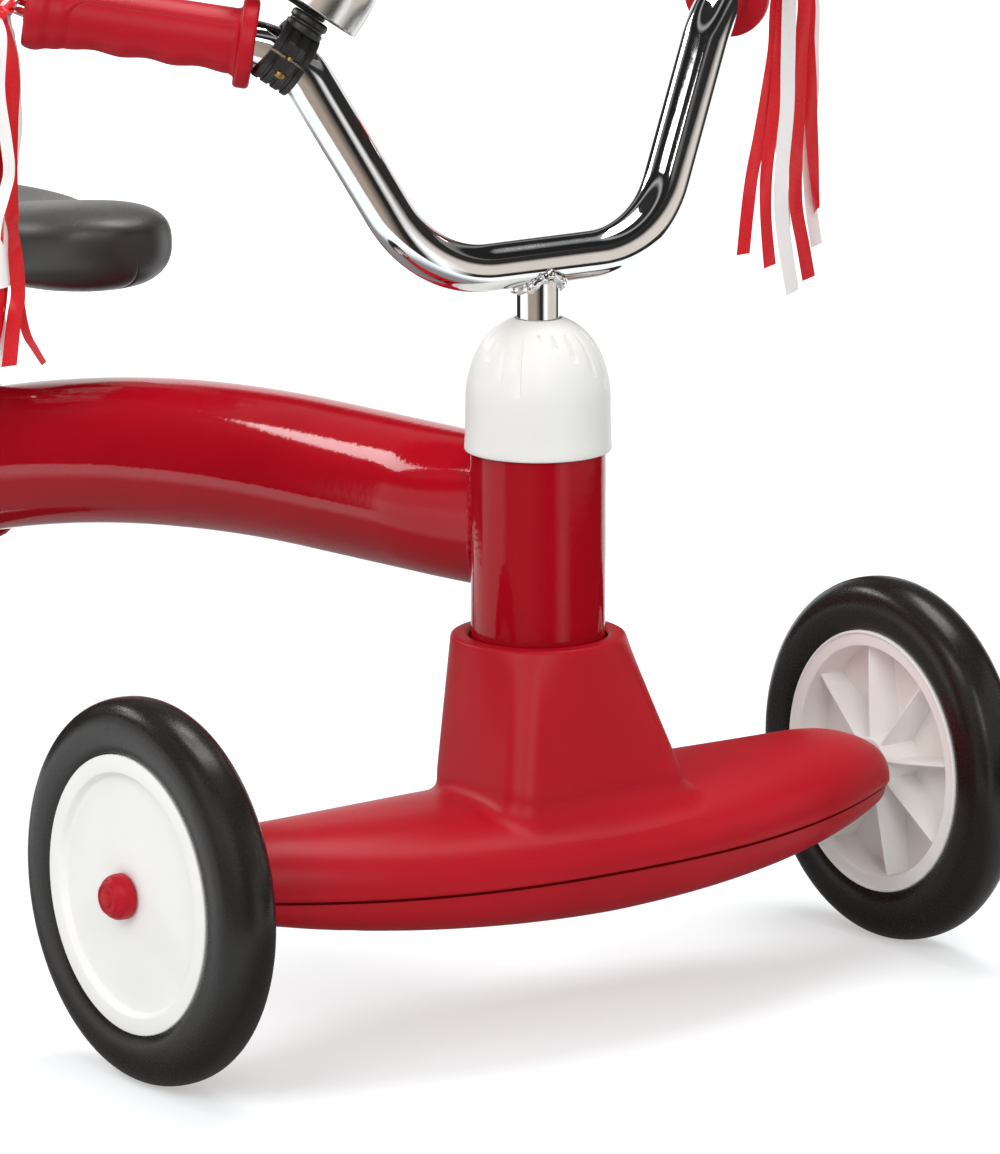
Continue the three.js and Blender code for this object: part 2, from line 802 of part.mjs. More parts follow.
function clampHalf(side) {
  const outer = barRadius + seatGap + clampWall;
  const ring = rod(outer, -clampWidth / 2, clampWidth / 2, capSides, "x");
  const lugHalf = clampLug / 2 + clampWall / 2;
  const lugs = [1, -1].map((way) =>
    block(
      vec(-clampWidth / 4, way * (outer - clampWall / 2) - lugHalf, -clampLug),
      vec(clampWidth / 4, way * (outer - clampWall / 2) + lugHalf, clampLug),
    ),
  );
  const far = 3 * outer;
  const keep = side > 0
    ? block(vec(-far, -far, clampSplit / 2), vec(far, far, far))
    : block(vec(-far, -far, -far), vec(far, far, -clampSplit / 2));
  return joined(ring, ...lugs).intersect(keep);
}

const screwPlace = -(barRadius + seatGap + clampWall + clampScrewRadius);
const clampScrewHole = rod(clampScrewRadius + seatGap, -2 * clampLug, 2 * clampLug, boreSides, "z");
const clampHoles = clampScrewHole.translate([0, screwPlace, 0]);
const bellBlock = rod(bellBlockRadius, barRadius, bellBlockHeight, capSides, "z");
const bellPostHole = rod(
  bellPostRadius + seatGap,
  (barRadius + bellBlockHeight) / 2,
  bellBlockHeight + cutOverrun,
  boreSides,
  "z",
);
add(
  "bell_bracket",
  cutBy(bellPlaced(cutBy(joined(clampHalf(1), bellBlock), clampHoles, bellPostHole)), barClearance),
  blackPlastic,
);
add("bell_strap", cutBy(bellPlaced(cutBy(clampHalf(-1), clampHoles)), barClearance), blackPlastic);
const clampScrew = joined(
  rod(clampScrewRadius, -clampLug - seatGap, clampLug - seatGap, boreSides, "z"),
  rod(1.7 * clampScrewRadius, -clampLug - seatGap - clampScrewRadius, -clampLug - seatGap, boreSides, "z"),
);
add("bell_screw", bellPlaced(clampScrew.translate([0, screwPlace, 0])), brass);

function superRound(share, power) {
  return (1 - share ** power) ** (1 / power);
}

function bellDome() {
  const power = 4.2;
  const top = domeRimHeight + domeHeight;
  const outer = shares(6).map((share) => {
    const angle = (Math.PI / 2) * share;
    const reach = Math.sin(angle) ** (2 / power);
    return [domeRadius * reach, domeRimHeight + domeHeight * superRound(reach, power)];
  });
  const innerRise = 1 - domeWall / domeHeight;
  const inner = outer.map(([radius, height]) => [
    (radius * (domeRadius - domeWall)) / domeRadius,
    domeRimHeight + (height - domeRimHeight) * innerRise,
  ]);
  const hole = bellPostRadius + seatGap;
  const outerRun = outer.filter(([radius]) => radius > 2 * hole);
  const innerRun = inner.filter(([radius], i) => radius > 2 * hole && i % 2 === 0).reverse();
  return revolved([[hole, top], ...outerRun, ...innerRun, [hole, top - domeWall]], midSides, "z");
}

add("bell_dome", bellPlaced(bellDome()), brushedChrome);
const postFoot = (barRadius + bellBlockHeight) / 2 + seatGap;
const domeTop = domeRimHeight + domeHeight;
const bellPost = revolved(
  [
    [0, postFoot],
    [bellPostRadius, postFoot],
    [bellPostRadius, bellBlockHeight + 2 * seatGap + leverThickness],
    [2 * bellPostRadius, bellBlockHeight + 2 * seatGap + leverThickness],
    [2 * bellPostRadius, domeTop - domeWall - seatGap],
    [bellPostRadius, domeTop - domeWall - seatGap],
    [bellPostRadius, domeTop + seatGap],
    [2 * bellPostRadius, domeTop + seatGap],
    [1.5 * bellPostRadius, domeTop + bellPostRadius],
    [0, domeTop + 1.4 * bellPostRadius],
  ],
  boreSides,
  "z",
);
add("bell_post", bellPlaced(bellPost), zincSteel);

function bellLever() {
  const foot = bellBlockHeight + seatGap;
  const top = foot + leverThickness;
  const eye = rod(leverArmWidth / 2, foot, top, capSides, "z");
  const armEnd = vec(leverReach - leverPadRadius, leverArmWidth / 2, top);
  const arm = block(vec(0, -leverArmWidth / 2, foot), armEnd);
  const pad = rod(leverPadRadius, foot, foot + leverPadThickness, capSides, "z")
    .translate([leverReach - leverPadRadius, 0, 0]);
  const step = block(
    vec(domeRadius + leverThickness, -leverArmWidth / 2, foot),
    vec(leverReach - leverPadRadius, leverArmWidth / 2, foot + leverPadThickness),
  );
  const hole = rod(leverHoleRadius, foot - cutOverrun, foot + leverPadThickness + cutOverrun, boreSides, "z");
  const postHole = rod(bellPostRadius + seatGap, foot - cutOverrun, top + cutOverrun, boreSides, "z");
  const striker = rod(bellPostRadius, foot, domeRimHeight + domeHeight / 3, hexSides, "z")
    .translate([domeRadius - domeWall - 2.5 * bellPostRadius, 0, 0]);
  return cutBy(
    joined(eye, arm, pad, step, striker),
    hole.translate([leverReach - leverPadRadius, 0, 0]),
    postHole,
  );
}

add("bell_lever", bellPlaced(bellLever()), blackPlastic);

// Head tube, bushes and the white cap

const capSkirtBottom = beamFrontHeight + beamFrontHalfHeight + capSkirtGap - seatGap;
const aboutSteering = (solid) => solid.translate([0, steeringY, 0]);
const headTubeBore = headTubeRadius - headTubeWall;
const headTube = sleeve(headTubeBore, headTubeRadius, headTubeBottom, headTubeTop, bigSides, "z");
add("head_tube", aboutSteering(headTube), paintedRed);

const bushBore = stemRadius + seatGap;
const spigotRadius = headTubeBore - seatGap;
function headBush(seat, way) {
  const flangeSeat = seat + way * seatGap;
  const profile = [
    [bushBore, seat - way * bushSpigot],
    [spigotRadius, seat - way * bushSpigot],
    [spigotRadius, flangeSeat],
    [headTubeRadius - seatGap, flangeSeat],
    [headTubeRadius - seatGap, flangeSeat + way * bushFlange],
    [bushBore, flangeSeat + way * bushFlange],
  ];
  return aboutSteering(revolved(profile, capSides, "z"));
}
add("head_bush_upper", headBush(headTubeTop, 1), nylon);
add("head_bush_lower", headBush(headTubeBottom, -1), nylon);

const thrustTop = headTubeBottom - 2 * seatGap - bushFlange;
const thrustWasher = sleeve(bushBore, thrustRadius, thrustTop - thrustThickness, thrustTop, capSides, "z");
add("thrust_washer", aboutSteering(thrustWasher), zincSteel);

function domeAt(angle, inset) {
  return [
    (capSkirtRadius - inset) * Math.cos(angle),
    capDomeBase + (capDomeHeight - inset) * Math.sin(angle),
  ];
}

// The cap's dome is fluted: every second corner of its rings is drawn in, deepest half way up
function headCap() {
  const mouth = Math.acos(capMouthRadius / capSkirtRadius);
  const shoulder = headTubeTop + 2 * seatGap + bushFlange;
  const bore = headTubeRadius + seatGap;
  const fluted = ([radius, height], depth) =>
    shares(2 * fluteCount).slice(1).map((share, i) => {
      const angle = 2 * Math.PI * share;
      const reach = radius - depth * (i % 2);
      return atSteering(reach * Math.cos(angle), reach * Math.sin(angle), height);
    });
  const outside = lofted([
    fluted([capSkirtRadius, capSkirtBottom], 0),
    fluted(domeAt(0, 0), 0),
    ...fluteRingShares.map(([rise, depth]) => fluted(domeAt(mouth * rise, 0), depth * fluteDepth)),
    fluted(domeAt(mouth, 0), 0),
  ]);
  const shoulderRadius = headTubeRadius - headTubeWall - capWall;
  const inside = revolved(
    [
      [0, capSkirtBottom - cutOverrun],
      [bore, capSkirtBottom - cutOverrun],
      [bore, shoulder],
      [shoulderRadius, shoulder],
      domeAt(mouth * fluteRingShares[1][0], capWall + fluteDepth),
      [capMouthRadius - capWall / 2, capDomeBase + capDomeHeight],
      [0, capDomeBase + capDomeHeight],
    ],
    bigSides,
    "z",
  );
  return cutBy(outside, aboutSteering(inside));
}
add("head_cap", headCap(), whitePlastic);

// Main beam: nearly straight from the head tube, then one long bend down to the fork. Its front
// is pressed narrower, so that it wraps on to the smaller head tube.

const beamSlope = THREE.MathUtils.degToRad(beamSlopeDegrees);

// The fork's frame: down runs along the legs, and across lies in the crown plate
const forkAngle = THREE.MathUtils.degToRad(forkAngleDegrees);
const forkDown = vec(0, Math.cos(forkAngle), -Math.sin(forkAngle));
const forkUpward = vec(0, Math.sin(forkAngle), Math.cos(forkAngle));
const rearAxle = vec(0, rearAxleY, axleHeight);
const crownCentre = rearAxle.clone().addScaledVector(forkDown, -forkDrop);
crownCentre.addScaledVector(forkUpward, forkSetForward);
const forkPlaced = (solid) => placed(solid, crownCentre, vec(1, 0, 0), forkUpward, forkDown.clone().negate());

// The one bend that carries the beam from the end of its straight run to the crown plate
const bendStart = atSteering(
  0,
  beamStraightLength * Math.cos(beamSlope),
  beamFrontHeight - beamStraightLength * Math.sin(beamSlope),
);
const bendChord = crownCentre.clone().sub(bendStart);
const chordSlope = Math.atan2(-bendChord.z, bendChord.y);
const beamBendRadius = bendChord.length() / (2 * Math.sin(chordSlope - beamSlope));

function beamStation(run) {
  const bent = Math.max(0, run - beamStraightLength) / beamBendRadius;
  const straight = Math.min(run, beamStraightLength);
  const back = straight * Math.cos(beamSlope)
    + beamBendRadius * (Math.sin(beamSlope + bent) - Math.sin(beamSlope));
  const fall = straight * Math.sin(beamSlope)
    + beamBendRadius * (Math.cos(beamSlope) - Math.cos(beamSlope + bent));
  return { point: atSteering(0, back, beamFrontHeight - fall), fall: beamSlope + bent };
}

const beamRun = rearAxleY - steeringY;
const beamRunShares = [0, 0.05, 0.1, 0.15, 0.32, 0.5, 0.67, 0.84, 1];

function beamSolid(grow, sides) {
  const rings = beamRunShares.map((runShare) => {
    const run = beamRun * runShare;
    const { point, fall } = beamStation(run);
    const flare = Math.min(1, run / beamFlareLength);
    const eased = flare * flare * (3 - 2 * flare);
    const half = mix(beamFrontHalfWidth, beamRadius, eased) + grow;
    const rise = mix(beamFrontHalfHeight, beamRadius, Math.min(1, run / beamTaperLength)) + grow;
    const up = vec(0, Math.sin(fall), Math.cos(fall));
    return shares(sides).slice(1).map((share) => {
      const angle = 2 * Math.PI * share;
      const side = point.clone().add(vec(half * Math.cos(angle), 0, 0));
      return side.addScaledVector(up, rise * Math.sin(angle));
    });
  });
  return lofted(rings);
}

const mitreReach = 4 * beamRadius;
const mitre = forkPlaced(
  block(vec(-mitreReach, -mitreReach, -2 * mitreReach), vec(mitreReach, mitreReach, 0)),
);
const headClearance = aboutSteering(
  rod(headTubeRadius + seatGap, headTubeBottom, headTubeTop, bigSides, "z"),
);
const atSeat = (solid) => solid.translate([0, seatY, 0]);
const seatTubeHole = atSeat(
  rod(seatTubeRadius + seatGap, seatPostBottom - beamRadius, seatTubeTop, midSides, "z"),
);
const beamSkin = cutBy(beamSolid(0, bigSides), beamSolid(-beamWall, smallSides));
add("main_beam", cutBy(beamSkin, headClearance, mitre, seatTubeHole), paintedRed);

function roundedPlate(halfWidth, halfLength, corner, low, high) {
  const shape = new THREE.Shape();
  const [w, l] = [halfWidth - corner, halfLength - corner];
  shape.absarc(w, l, corner, 0, Math.PI / 2);
  shape.absarc(-w, l, corner, Math.PI / 2, Math.PI);
  shape.absarc(-w, -l, corner, Math.PI, Math.PI * 3 / 2);
  shape.absarc(w, -l, corner, Math.PI * 3 / 2, 2 * Math.PI);
  const options = { depth: high - low, bevelEnabled: false, curveSegments: cornerSteps };
  return solidOf(new THREE.ExtrudeGeometry(shape, options).translate(0, 0, low));
}

const crown = roundedPlate(crownWidth / 2, crownLength / 2, crownCorner, -crownThickness - seatGap, -seatGap);
add("fork_crown", forkPlaced(crown), paintedRed);

function forkLeg(side) {
  const legTop = -crownThickness - 2 * seatGap;
  const outline = [[-legTopWidth / 2, legTop], [legTopWidth / 2, legTop]];
  shares(8).forEach((share) => {
    const angle = -Math.PI * share;
    outline.push([
      -forkSetForward + legEyeRadius * Math.cos(angle),
      -forkDrop + legEyeRadius * Math.sin(angle),
    ]);
  });
  const from = side > 0 ? legGap / 2 : -legGap / 2 - legThickness;
  const hole = rod(axleBore, -legGap, legGap, midSides, "x").translate(rearAxle.toArray());
  return cutBy(forkPlaced(plateAcross(outline, from, from + legThickness)), hole);
}
add("fork_leg_left", forkLeg(1), paintedRed);
add("fork_leg_right", forkLeg(-1), paintedRed);

// Rear axle bolt, its nut and the spacers between the legs and the hub
const legOuter = legGap / 2 + legThickness + seatGap;
const atRearAxle = (solid) => solid.translate(rearAxle.toArray());
const rearBolt = joined(
  rod(axleRadius, -legOuter - boltHeadThickness - threadPastNut, legOuter, smallSides, "x"),
  rod(boltHeadRadius, legOuter, legOuter + boltHeadThickness, hexSides, "x"),
);
add("rear_axle", atRearAxle(rearBolt), zincSteel);
const rearNut = nut(axleRadius, boltHeadRadius, -legOuter - boltHeadThickness, -legOuter);
add("rear_nut", atRearAxle(rearNut), zincSteel);
const spacerOuter = legGap / 2 - seatGap;
const rearSpacer = (from, to) => sleeve(axleBore, rearSpacerRadius, from, to, smallSides, "x");
const outerSpacer = rearSpacer(hubOuterFace + seatGap, spacerOuter);
const innerSpacer = rearSpacer(-spacerOuter, -hubBossReach - seatGap);
add("rear_spacer_left", atRearAxle(outerSpacer), zincSteel);
add("rear_spacer_right", atRearAxle(innerSpacer), zincSteel);

// Front housing. Its plan is a long lens with blunt rounded tips, its sections are soft arches.

function housingRing(x, inset, way, depth, power, runout, steps) {
  const reach = housingHalfLength - inset;
  const share = Math.min(Math.abs(x) / reach, 1);
  const front = mix(-housingFront, -housingTipFront, share ** 2.3) + inset;
  const rear = mix(housingRear, housingTipRear, share ** 2) - inset;
  const past = Math.max(0, (Math.abs(x) - reach + housingTipRounding) / housingTipRounding);
  const narrow = superRound(Math.min(past, 0.995), 2.6);
  const fallen = Math.max(0, (Math.abs(x) - reach + runout) / runout);
  const height = (depth - inset) * superRound(Math.min(fallen, 0.995), way > 0 ? 2.2 : 1.6);
  const middle = (front + rear) / 2;
  const half = narrow * (rear - front) / 2;
  const seam = partingHeight + way * partingGroove / 2;
  return shares(steps).map((turn) => {
    const angle = Math.PI * turn;
    const across = -Math.sign(Math.cos(angle)) * Math.abs(Math.cos(angle)) ** (2 / power);
    const lift = Math.sin(angle) ** (2 / power);
    return atSteering(x, middle + half * across, seam + way * height * lift);
  });
}

const housingStationShares = [0.998, 0.98, 0.945, 0.885, 0.74, 0.45, 0];
const hollowStationShares = [0.998, 0.95, 0.87, 0.68, 0.36, 0];

function housingShell(inset, way, depth, power, runout, drop) {
  const reach = housingHalfLength - inset;
  const steps = inset > 0 ? hollowArcSteps : housingArcSteps;
  const right = (inset > 0 ? hollowStationShares : housingStationShares).map((share) => -share * reach);
  const stations = [...right, ...right.slice(0, -1).reverse().map((x) => -x)];
  return lofted(stations.map((x) => {
    const ring = housingRing(x, inset, way, depth, power, runout, steps);
    if (!drop) return ring;
    const foot = [ring[ring.length - 1], ring[0]].map((point) => point.clone().setZ(point.z - way * drop));
    return [...ring, ...foot];
  }));
}

// Boot plan at its base: a round back with two rounded corners in front, as a distance from the
// steering line in each direction
const bootDiscs = [
  [0, 0, bootBaseRadius],
  [bootCornerHalf - bootCornerRadius, -bootCornerFront + bootCornerRadius, bootCornerRadius],
  [-bootCornerHalf + bootCornerRadius, -bootCornerFront + bootCornerRadius, bootCornerRadius],
];

function bootBaseReach(angle) {
  let reach = Infinity;
  shares(120).forEach((share) => {
    const normal = angle + Math.PI * (share - 1 / 2) * 0.98;
    const hull = bootDiscs.map(([x, y, r]) => x * Math.cos(normal) + y * Math.sin(normal) + r);
    reach = Math.min(reach, Math.max(...hull) / Math.cos(normal - angle));
  });
  return reach;
}

const bootAngles = shares(bootSides).slice(1).map((share) => 2 * Math.PI * share);
const bootBase = bootAngles.map(bootBaseReach);

function bootRing(height, share, grow, filletGrow) {
  return bootAngles.map((angle, i) => {
    const front = (1 - Math.sin(angle)) / 2;
    const reach = mix(bootBase[i], bootTopRadius, share) + grow + filletGrow * front;
    return atSteering(reach * Math.cos(angle), reach * Math.sin(angle), height);
  });
}

function bootSolid() {
  const seam = partingHeight + partingGroove / 2 + housingWall;
  const fillet = shares(2).map((share) => {
    const angle = (Math.PI / 2) * (1 - share) * 0.95;
    return bootRing(
      bootBaseHeight - bootFillet * Math.sin(angle),
      0,
      0,
      bootFillet * (1 - Math.cos(angle)),
    );
  });
  return lofted([
    bootRing(seam, 0, -housingWall, 0),
    bootRing(bootBaseHeight - 2 * bootFillet, 0, -housingWall / 3, 0),
    ...fillet,
    bootRing(mix(bootBaseHeight, bootTop, 0.5), 0.5, 0, 0),
    bootRing(bootTop - bootRim, 1, 0, 0),
    bootRing(bootTop, 1, -bootRim, 0),
  ]);
}

function bootHollow() {
  const foot = partingHeight - cutOverrun;
  return lofted([
    bootRing(foot, 0, -2 * housingWall, 0),
    bootRing(bootBaseHeight, 0, -housingWall, 0),
    bootRing(bootTop - 2 * housingWall, 1, -housingWall, 0),
  ]);
}

const screwSpotShares = [-0.66, -0.33, 0.33, 0.66];
const screwSpots = screwSpotShares.map((share) => share * housingHalfLength);
const screwSetBack = -(housingFront + housingRear) / 4 - axleTrail;
const screwFoot = partingHeight - housingDepth / 2;

const holeAlongAxle = (radius, half) =>
  atFrontAxle(rod(radius + seatGap, -half - cutOverrun, half + cutOverrun, smallSides, "x"));
const spacerHole = holeAlongAxle(spacerRadius, housingHalfLength);
const axleTubeHole = holeAlongAxle(axleTubeRadius, axleTubeHalf);
const atScrew = (x) => (solid) => solid.translate([x, steeringY + screwSetBack, 0]);
const seamTop = partingHeight + partingGroove / 2;
const seamBottom = partingHeight - partingGroove / 2;
const archHeight = housingCrown - partingGroove / 2;
const hollowUpper = housingShell(housingWall, 1, archHeight, 2.4, housingRunout, cutOverrun);
const arch = housingShell(0, 1, archHeight, 2.4, housingRunout, 0);
const collarBore = aboutSteering(rod(bootBore, partingHeight, bootTop + cutOverrun, bigSides, "z"));
const bossTop = partingHeight + housingCrown - housingWall / 2;
const screwHoleTop = screwFoot + screwLength + 2 * seatGap;
const bosses = screwSpots.map((x) =>
  atScrew(x)(rod(screwBossRadius, seamTop + tongueHeight, bossTop, boreSides, "z")),
);
const screwHoles = screwSpots.map((x) =>
  atScrew(x)(rod(screwRadius + seatGap, screwFoot - housingDepth, screwHoleTop, boreSides, "z")),
);
add(
  "housing_upper",
  cutBy(
    joined(
      cutBy(joined(arch, bootSolid()), hollowUpper, bootHollow()),
      ...bosses.map((boss) => cutBy(boss.intersect(arch), axleTubeHole)),
    ),
    collarBore,
    spacerHole,
    ...screwHoles,
  ),
  mouldedRed,
);

function housingLower() {
  const depth = housingDepth - partingGroove / 2;
  const pan = housingShell(0, -1, depth, 3.2, housingHalfLength, 0);
  const inner = housingShell(housingWall, -1, depth, 3.2, housingHalfLength, tongueHeight + cutOverrun);
  const tongueFoot = partingGroove + housingWall;
  const tongueBand = block(
    atSteering(-housingHalfLength, -2 * housingFront, seamTop - tongueFoot),
    atSteering(housingHalfLength, 2 * housingFront, seamTop + tongueHeight),
  );
  const tongue = cutBy(
    housingShell(housingWall + seatGap, 1, archHeight, 2.4, housingRunout, tongueFoot).intersect(tongueBand),
    housingShell(2 * housingWall, 1, archHeight, 2.4, housingRunout, 2 * tongueFoot),
  );
  const postRadius = screwBossRadius + housingWall / 2;
  const postTop = seamTop + tongueHeight - seatGap;
  const posts = screwSpots.map((x) =>
    atScrew(x)(rod(postRadius, seamBottom - housingDepth / 2, postTop, boreSides, "z")),
  );
  const socketRadius = screwHeadRadius + seatGap;
  const sockets = screwSpots.map((x) =>
    atScrew(x)(rod(socketRadius, seamBottom - 2 * housingDepth, screwFoot, boreSides, "z")),
  );
  const shell = joined(cutBy(pan, inner), tongue);
  const room = housingShell(housingWall + seatGap, 1, archHeight, 2.4, housingRunout, housingDepth);
  const postsInside = posts.map((post) => cutBy(post.intersect(room), axleTubeHole));
  const socketWalls = screwSpots.map((x) =>
    atScrew(x)(rod(socketRadius + housingWall / 2, seamBottom - housingDepth, seamBottom, boreSides, "z"))
      .intersect(pan),
  );
  const whole = joined(shell, ...postsInside, ...socketWalls);
  return cutBy(whole, spacerHole, axleTubeHole, ...screwHoles, ...sockets);
}
add("housing_lower", housingLower(), mouldedRed);

screwSpots.forEach((x, i) => {
  const screw = joined(
    rod(screwRadius, screwFoot - seatGap, screwFoot + screwLength, hexSides, "z"),
    rod(screwHeadRadius, screwFoot - seatGap - screwHeadThickness, screwFoot - seatGap, boreSides, "z"),
  );
  add(`housing_screw_${i + 1}`, atScrew(x)(screw), zincSteel);
});

// Folded steel carrier that joins the stem to the axle tube, and its cross bolt

function axleCarrier() {
  const outer = carrierInsideHalf + carrierThickness;
  const low = atSteering(-outer, axleTrail / 2 - carrierHalfDepth, carrierBottom);
  const high = atSteering(outer, axleTrail / 2 + carrierHalfDepth, carrierTop);
  const inside = block(
    atSteering(-carrierInsideHalf, -2 * carrierHalfDepth, carrierBottom - cutOverrun),
    atSteering(carrierInsideHalf, 2 * carrierHalfDepth, carrierTop - carrierThickness),
  );
  const stemHole = rod(stemRadius + seatGap, carrierBottom, carrierTop + cutOverrun, midSides, "z");
  const boltHole = rod(crossBoltRadius + seatGap, -2 * outer, 2 * outer, smallSides, "x")
    .translate([0, steeringY, crossBoltHeight]);
  return cutBy(block(low, high), inside, aboutSteering(stemHole), axleTubeHole, boltHole);
}
add("axle_carrier", axleCarrier(), zincSteel);

const carrierOuter = carrierInsideHalf + carrierThickness + seatGap;
const crossBolt = joined(
  rod(crossBoltRadius, -carrierOuter - crossBoltHeadThickness - threadPastNut, carrierOuter, smallSides, "x"),
  rod(crossBoltHeadRadius, carrierOuter, carrierOuter + crossBoltHeadThickness, hexSides, "x"),
);
add("stem_bolt", crossBolt.translate([0, steeringY, crossBoltHeight]), zincSteel);
const crossNut = nut(
  crossBoltRadius,
  crossBoltHeadRadius,
  -carrierOuter - crossBoltHeadThickness,
  -carrierOuter,
);
add("stem_nut", crossNut.translate([0, steeringY, crossBoltHeight]), zincSteel);

// Seat tube, let into the beam down to the crown plate, the post in it and the knob that clamps it

const seatTubeBore = seatTubeRadius - seatTubeWall;
const knobHole = rod(knobScrewRadius + seatGap, 0, 2 * seatTubeRadius + knobBossReach, smallSides, "y")
  .translate([0, 0, knobHeight]);
const knobBoss = rod(knobBossRadius, seatTubeRadius / 2, seatTubeRadius + knobBossReach, midSides, "y")
  .translate([0, 0, knobHeight]);
const tubeBody = rod(seatTubeRadius, seatPostBottom - beamRadius, seatTubeTop, midSides, "z");
const tubeBore = rod(seatTubeBore, 0, seatTubeTop + cutOverrun, midSides, "z");
add("seat_tube", cutBy(atSeat(cutBy(joined(tubeBody, knobBoss), tubeBore, knobHole)), mitre), paintedRed);

const postRadius = seatTubeBore - seatGap;
const seatPost = sleeve(postRadius - seatPostWall, postRadius, seatPostBottom, seatPostTop, midSides, "z");
add("seat_post", atSeat(seatPost), chrome);

function seatKnob() {
  const from = seatTubeRadius + knobBossReach + seatGap;
  const screw = rod(knobScrewRadius, postRadius + seatGap, from + knobThickness / 2, smallSides, "y");
  const head = new THREE.Shape(shares(knobLobes * 6).slice(1).map((share) => {
    const angle = 2 * Math.PI * share;
    const radius = knobRadius * (1 - 0.09 * (1 - Math.cos(knobLobes * angle)));
    return new THREE.Vector2(radius * Math.cos(angle), radius * Math.sin(angle));
  }));
  const geometry = new THREE.ExtrudeGeometry(head, { depth: knobThickness, bevelEnabled: false });
  geometry.rotateX(-Math.PI / 2).translate(0, from, 0);
  return joined(screw, solidOf(geometry)).translate([0, 0, knobHeight]);
}
add("seat_knob", atSeat(seatKnob()), blackPlastic);

const plateLow = seatPostTop + seatGap;
const plateHigh = plateLow + seatPlateThickness;
const seatBoltPlaces = [["front", -seatBoltSpacing / 2], ["rear", seatBoltSpacing / 2]];
const seatBoltHoles = seatBoltPlaces.map(([, y]) =>
  rod(seatBoltRadius + seatGap, plateLow - cutOverrun, plateHigh + seatBoltLength + seatGap, boreSides, "z")
    .translate([0, y, 0]),
);
const seatPlate = roundedPlate(seatPlateHalfWidth, seatPlateHalfLength, seatBossRadius, plateLow, plateHigh);
add("seat_plate", atSeat(cutBy(seatPlate, ...seatBoltHoles)), zincSteel);
seatBoltPlaces.forEach(([name, y]) => {
  const bolt = joined(
    rod(seatBoltRadius, plateLow - seatGap, plateHigh + seatBoltLength, boreSides, "z"),
    rod(seatBoltHeadRadius, plateLow - seatGap - seatBoltHeadThickness, plateLow - seatGap, hexSides, "z"),
  );
  add(`seat_bolt_${name}`, atSeat(bolt.translate([0, y, 0])), zincSteel);
});

// Moulded saddle: a rounded nose, a dip for the rider and a wide tail, its rim rolled in below

function saddleRing(share, inset, skirt) {
  const length = saddleTail - saddleNose;
  const back = mix(saddleNose + inset, saddleTail - inset, share);
  const run = (back - saddleNose) / length;
  const noseRound = superRound(Math.max(0, 1 - Math.max(share, 0.001) / 0.24), 2.14);
  const tailRound = superRound(Math.max(0, 1 - Math.max(1 - share, 0.001) / 0.24), 2.3);
  const widen = Math.min(1, Math.max(0, (run - 0.3) / 0.5));
  const spread = widen * widen * (3 - 2 * widen);
  const half = (mix(saddleNoseHalf, saddleTailHalf, spread) - inset) * noseRound * tailRound;
  const dip = Math.min(1, run / 0.6);
  const lift = Math.max(0, (run - 0.7) / 0.3);
  const dipped = mix(saddleNoseTop, saddleDip, dip * dip * (3 - 2 * dip));
  const crest = dipped + (saddleTailTop - saddleDip) * lift * lift;
  const foot = mix(saddleNoseBottom, saddleTailBottom, Math.min(1, run * 1.3));
  const middle = (crest + foot) / 2;
  const ends = Math.min(noseRound, tailRound) ** 0.5;
  const upper = (crest - middle - inset) * ends;
  const lower = skirt ? 2 * skirt : (middle - foot - inset) * ends;
  return shares(saddleSides).slice(1).map((turn) => {
    const angle = 2 * Math.PI * turn;
    const side = Math.sign(Math.cos(angle)) * Math.abs(Math.cos(angle)) ** (2 / 2.35);
    const rise = Math.sign(Math.sin(angle)) * Math.abs(Math.sin(angle)) ** (2 / 2.35);
    return atSteering(half * side, back, middle + rise * (rise > 0 ? upper : lower));
  });
}

const saddleStationShares = [0.002, 0.03, 0.09, 0.19, 0.36, 0.52, 0.66, 0.78, 0.88, 0.955, 0.998];

function saddle() {
  const body = lofted(saddleStationShares.map((share) => saddleRing(share, 0, 0)));
  const hollow = lofted(saddleStationShares.map((share) => saddleRing(share, saddleWall, 0)));
  const mouth = lofted(saddleStationShares.map((share) => saddleRing(share, saddleRimWidth, seatPostTop / 4)));
  const boss = rod(seatBossRadius, plateHigh + seatGap, saddleTailTop, boreSides, "z");
  const bosses = seatBoltPlaces.map(([, y]) => atSeat(boss.translate([0, y, 0])).intersect(body));
  return cutBy(joined(cutBy(body, hollow, mouth), ...bosses), ...seatBoltHoles.map(atSeat));
}
add("saddle", saddle(), saddleBlack);

export default scooter;
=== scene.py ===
# %% [markdown]
# # A toddler's ride-on, dressed for its portrait
# The solids come first, as a fixed frame: every piece made below lies where its solid lies
# and moves with the same body. Blender works in metres here, and the scooter faces -Y, with its
# rider's left towards +X.

# %% Load the frame
import json
import math

import bmesh
import bpy
from mathutils import Matrix, Vector, noise

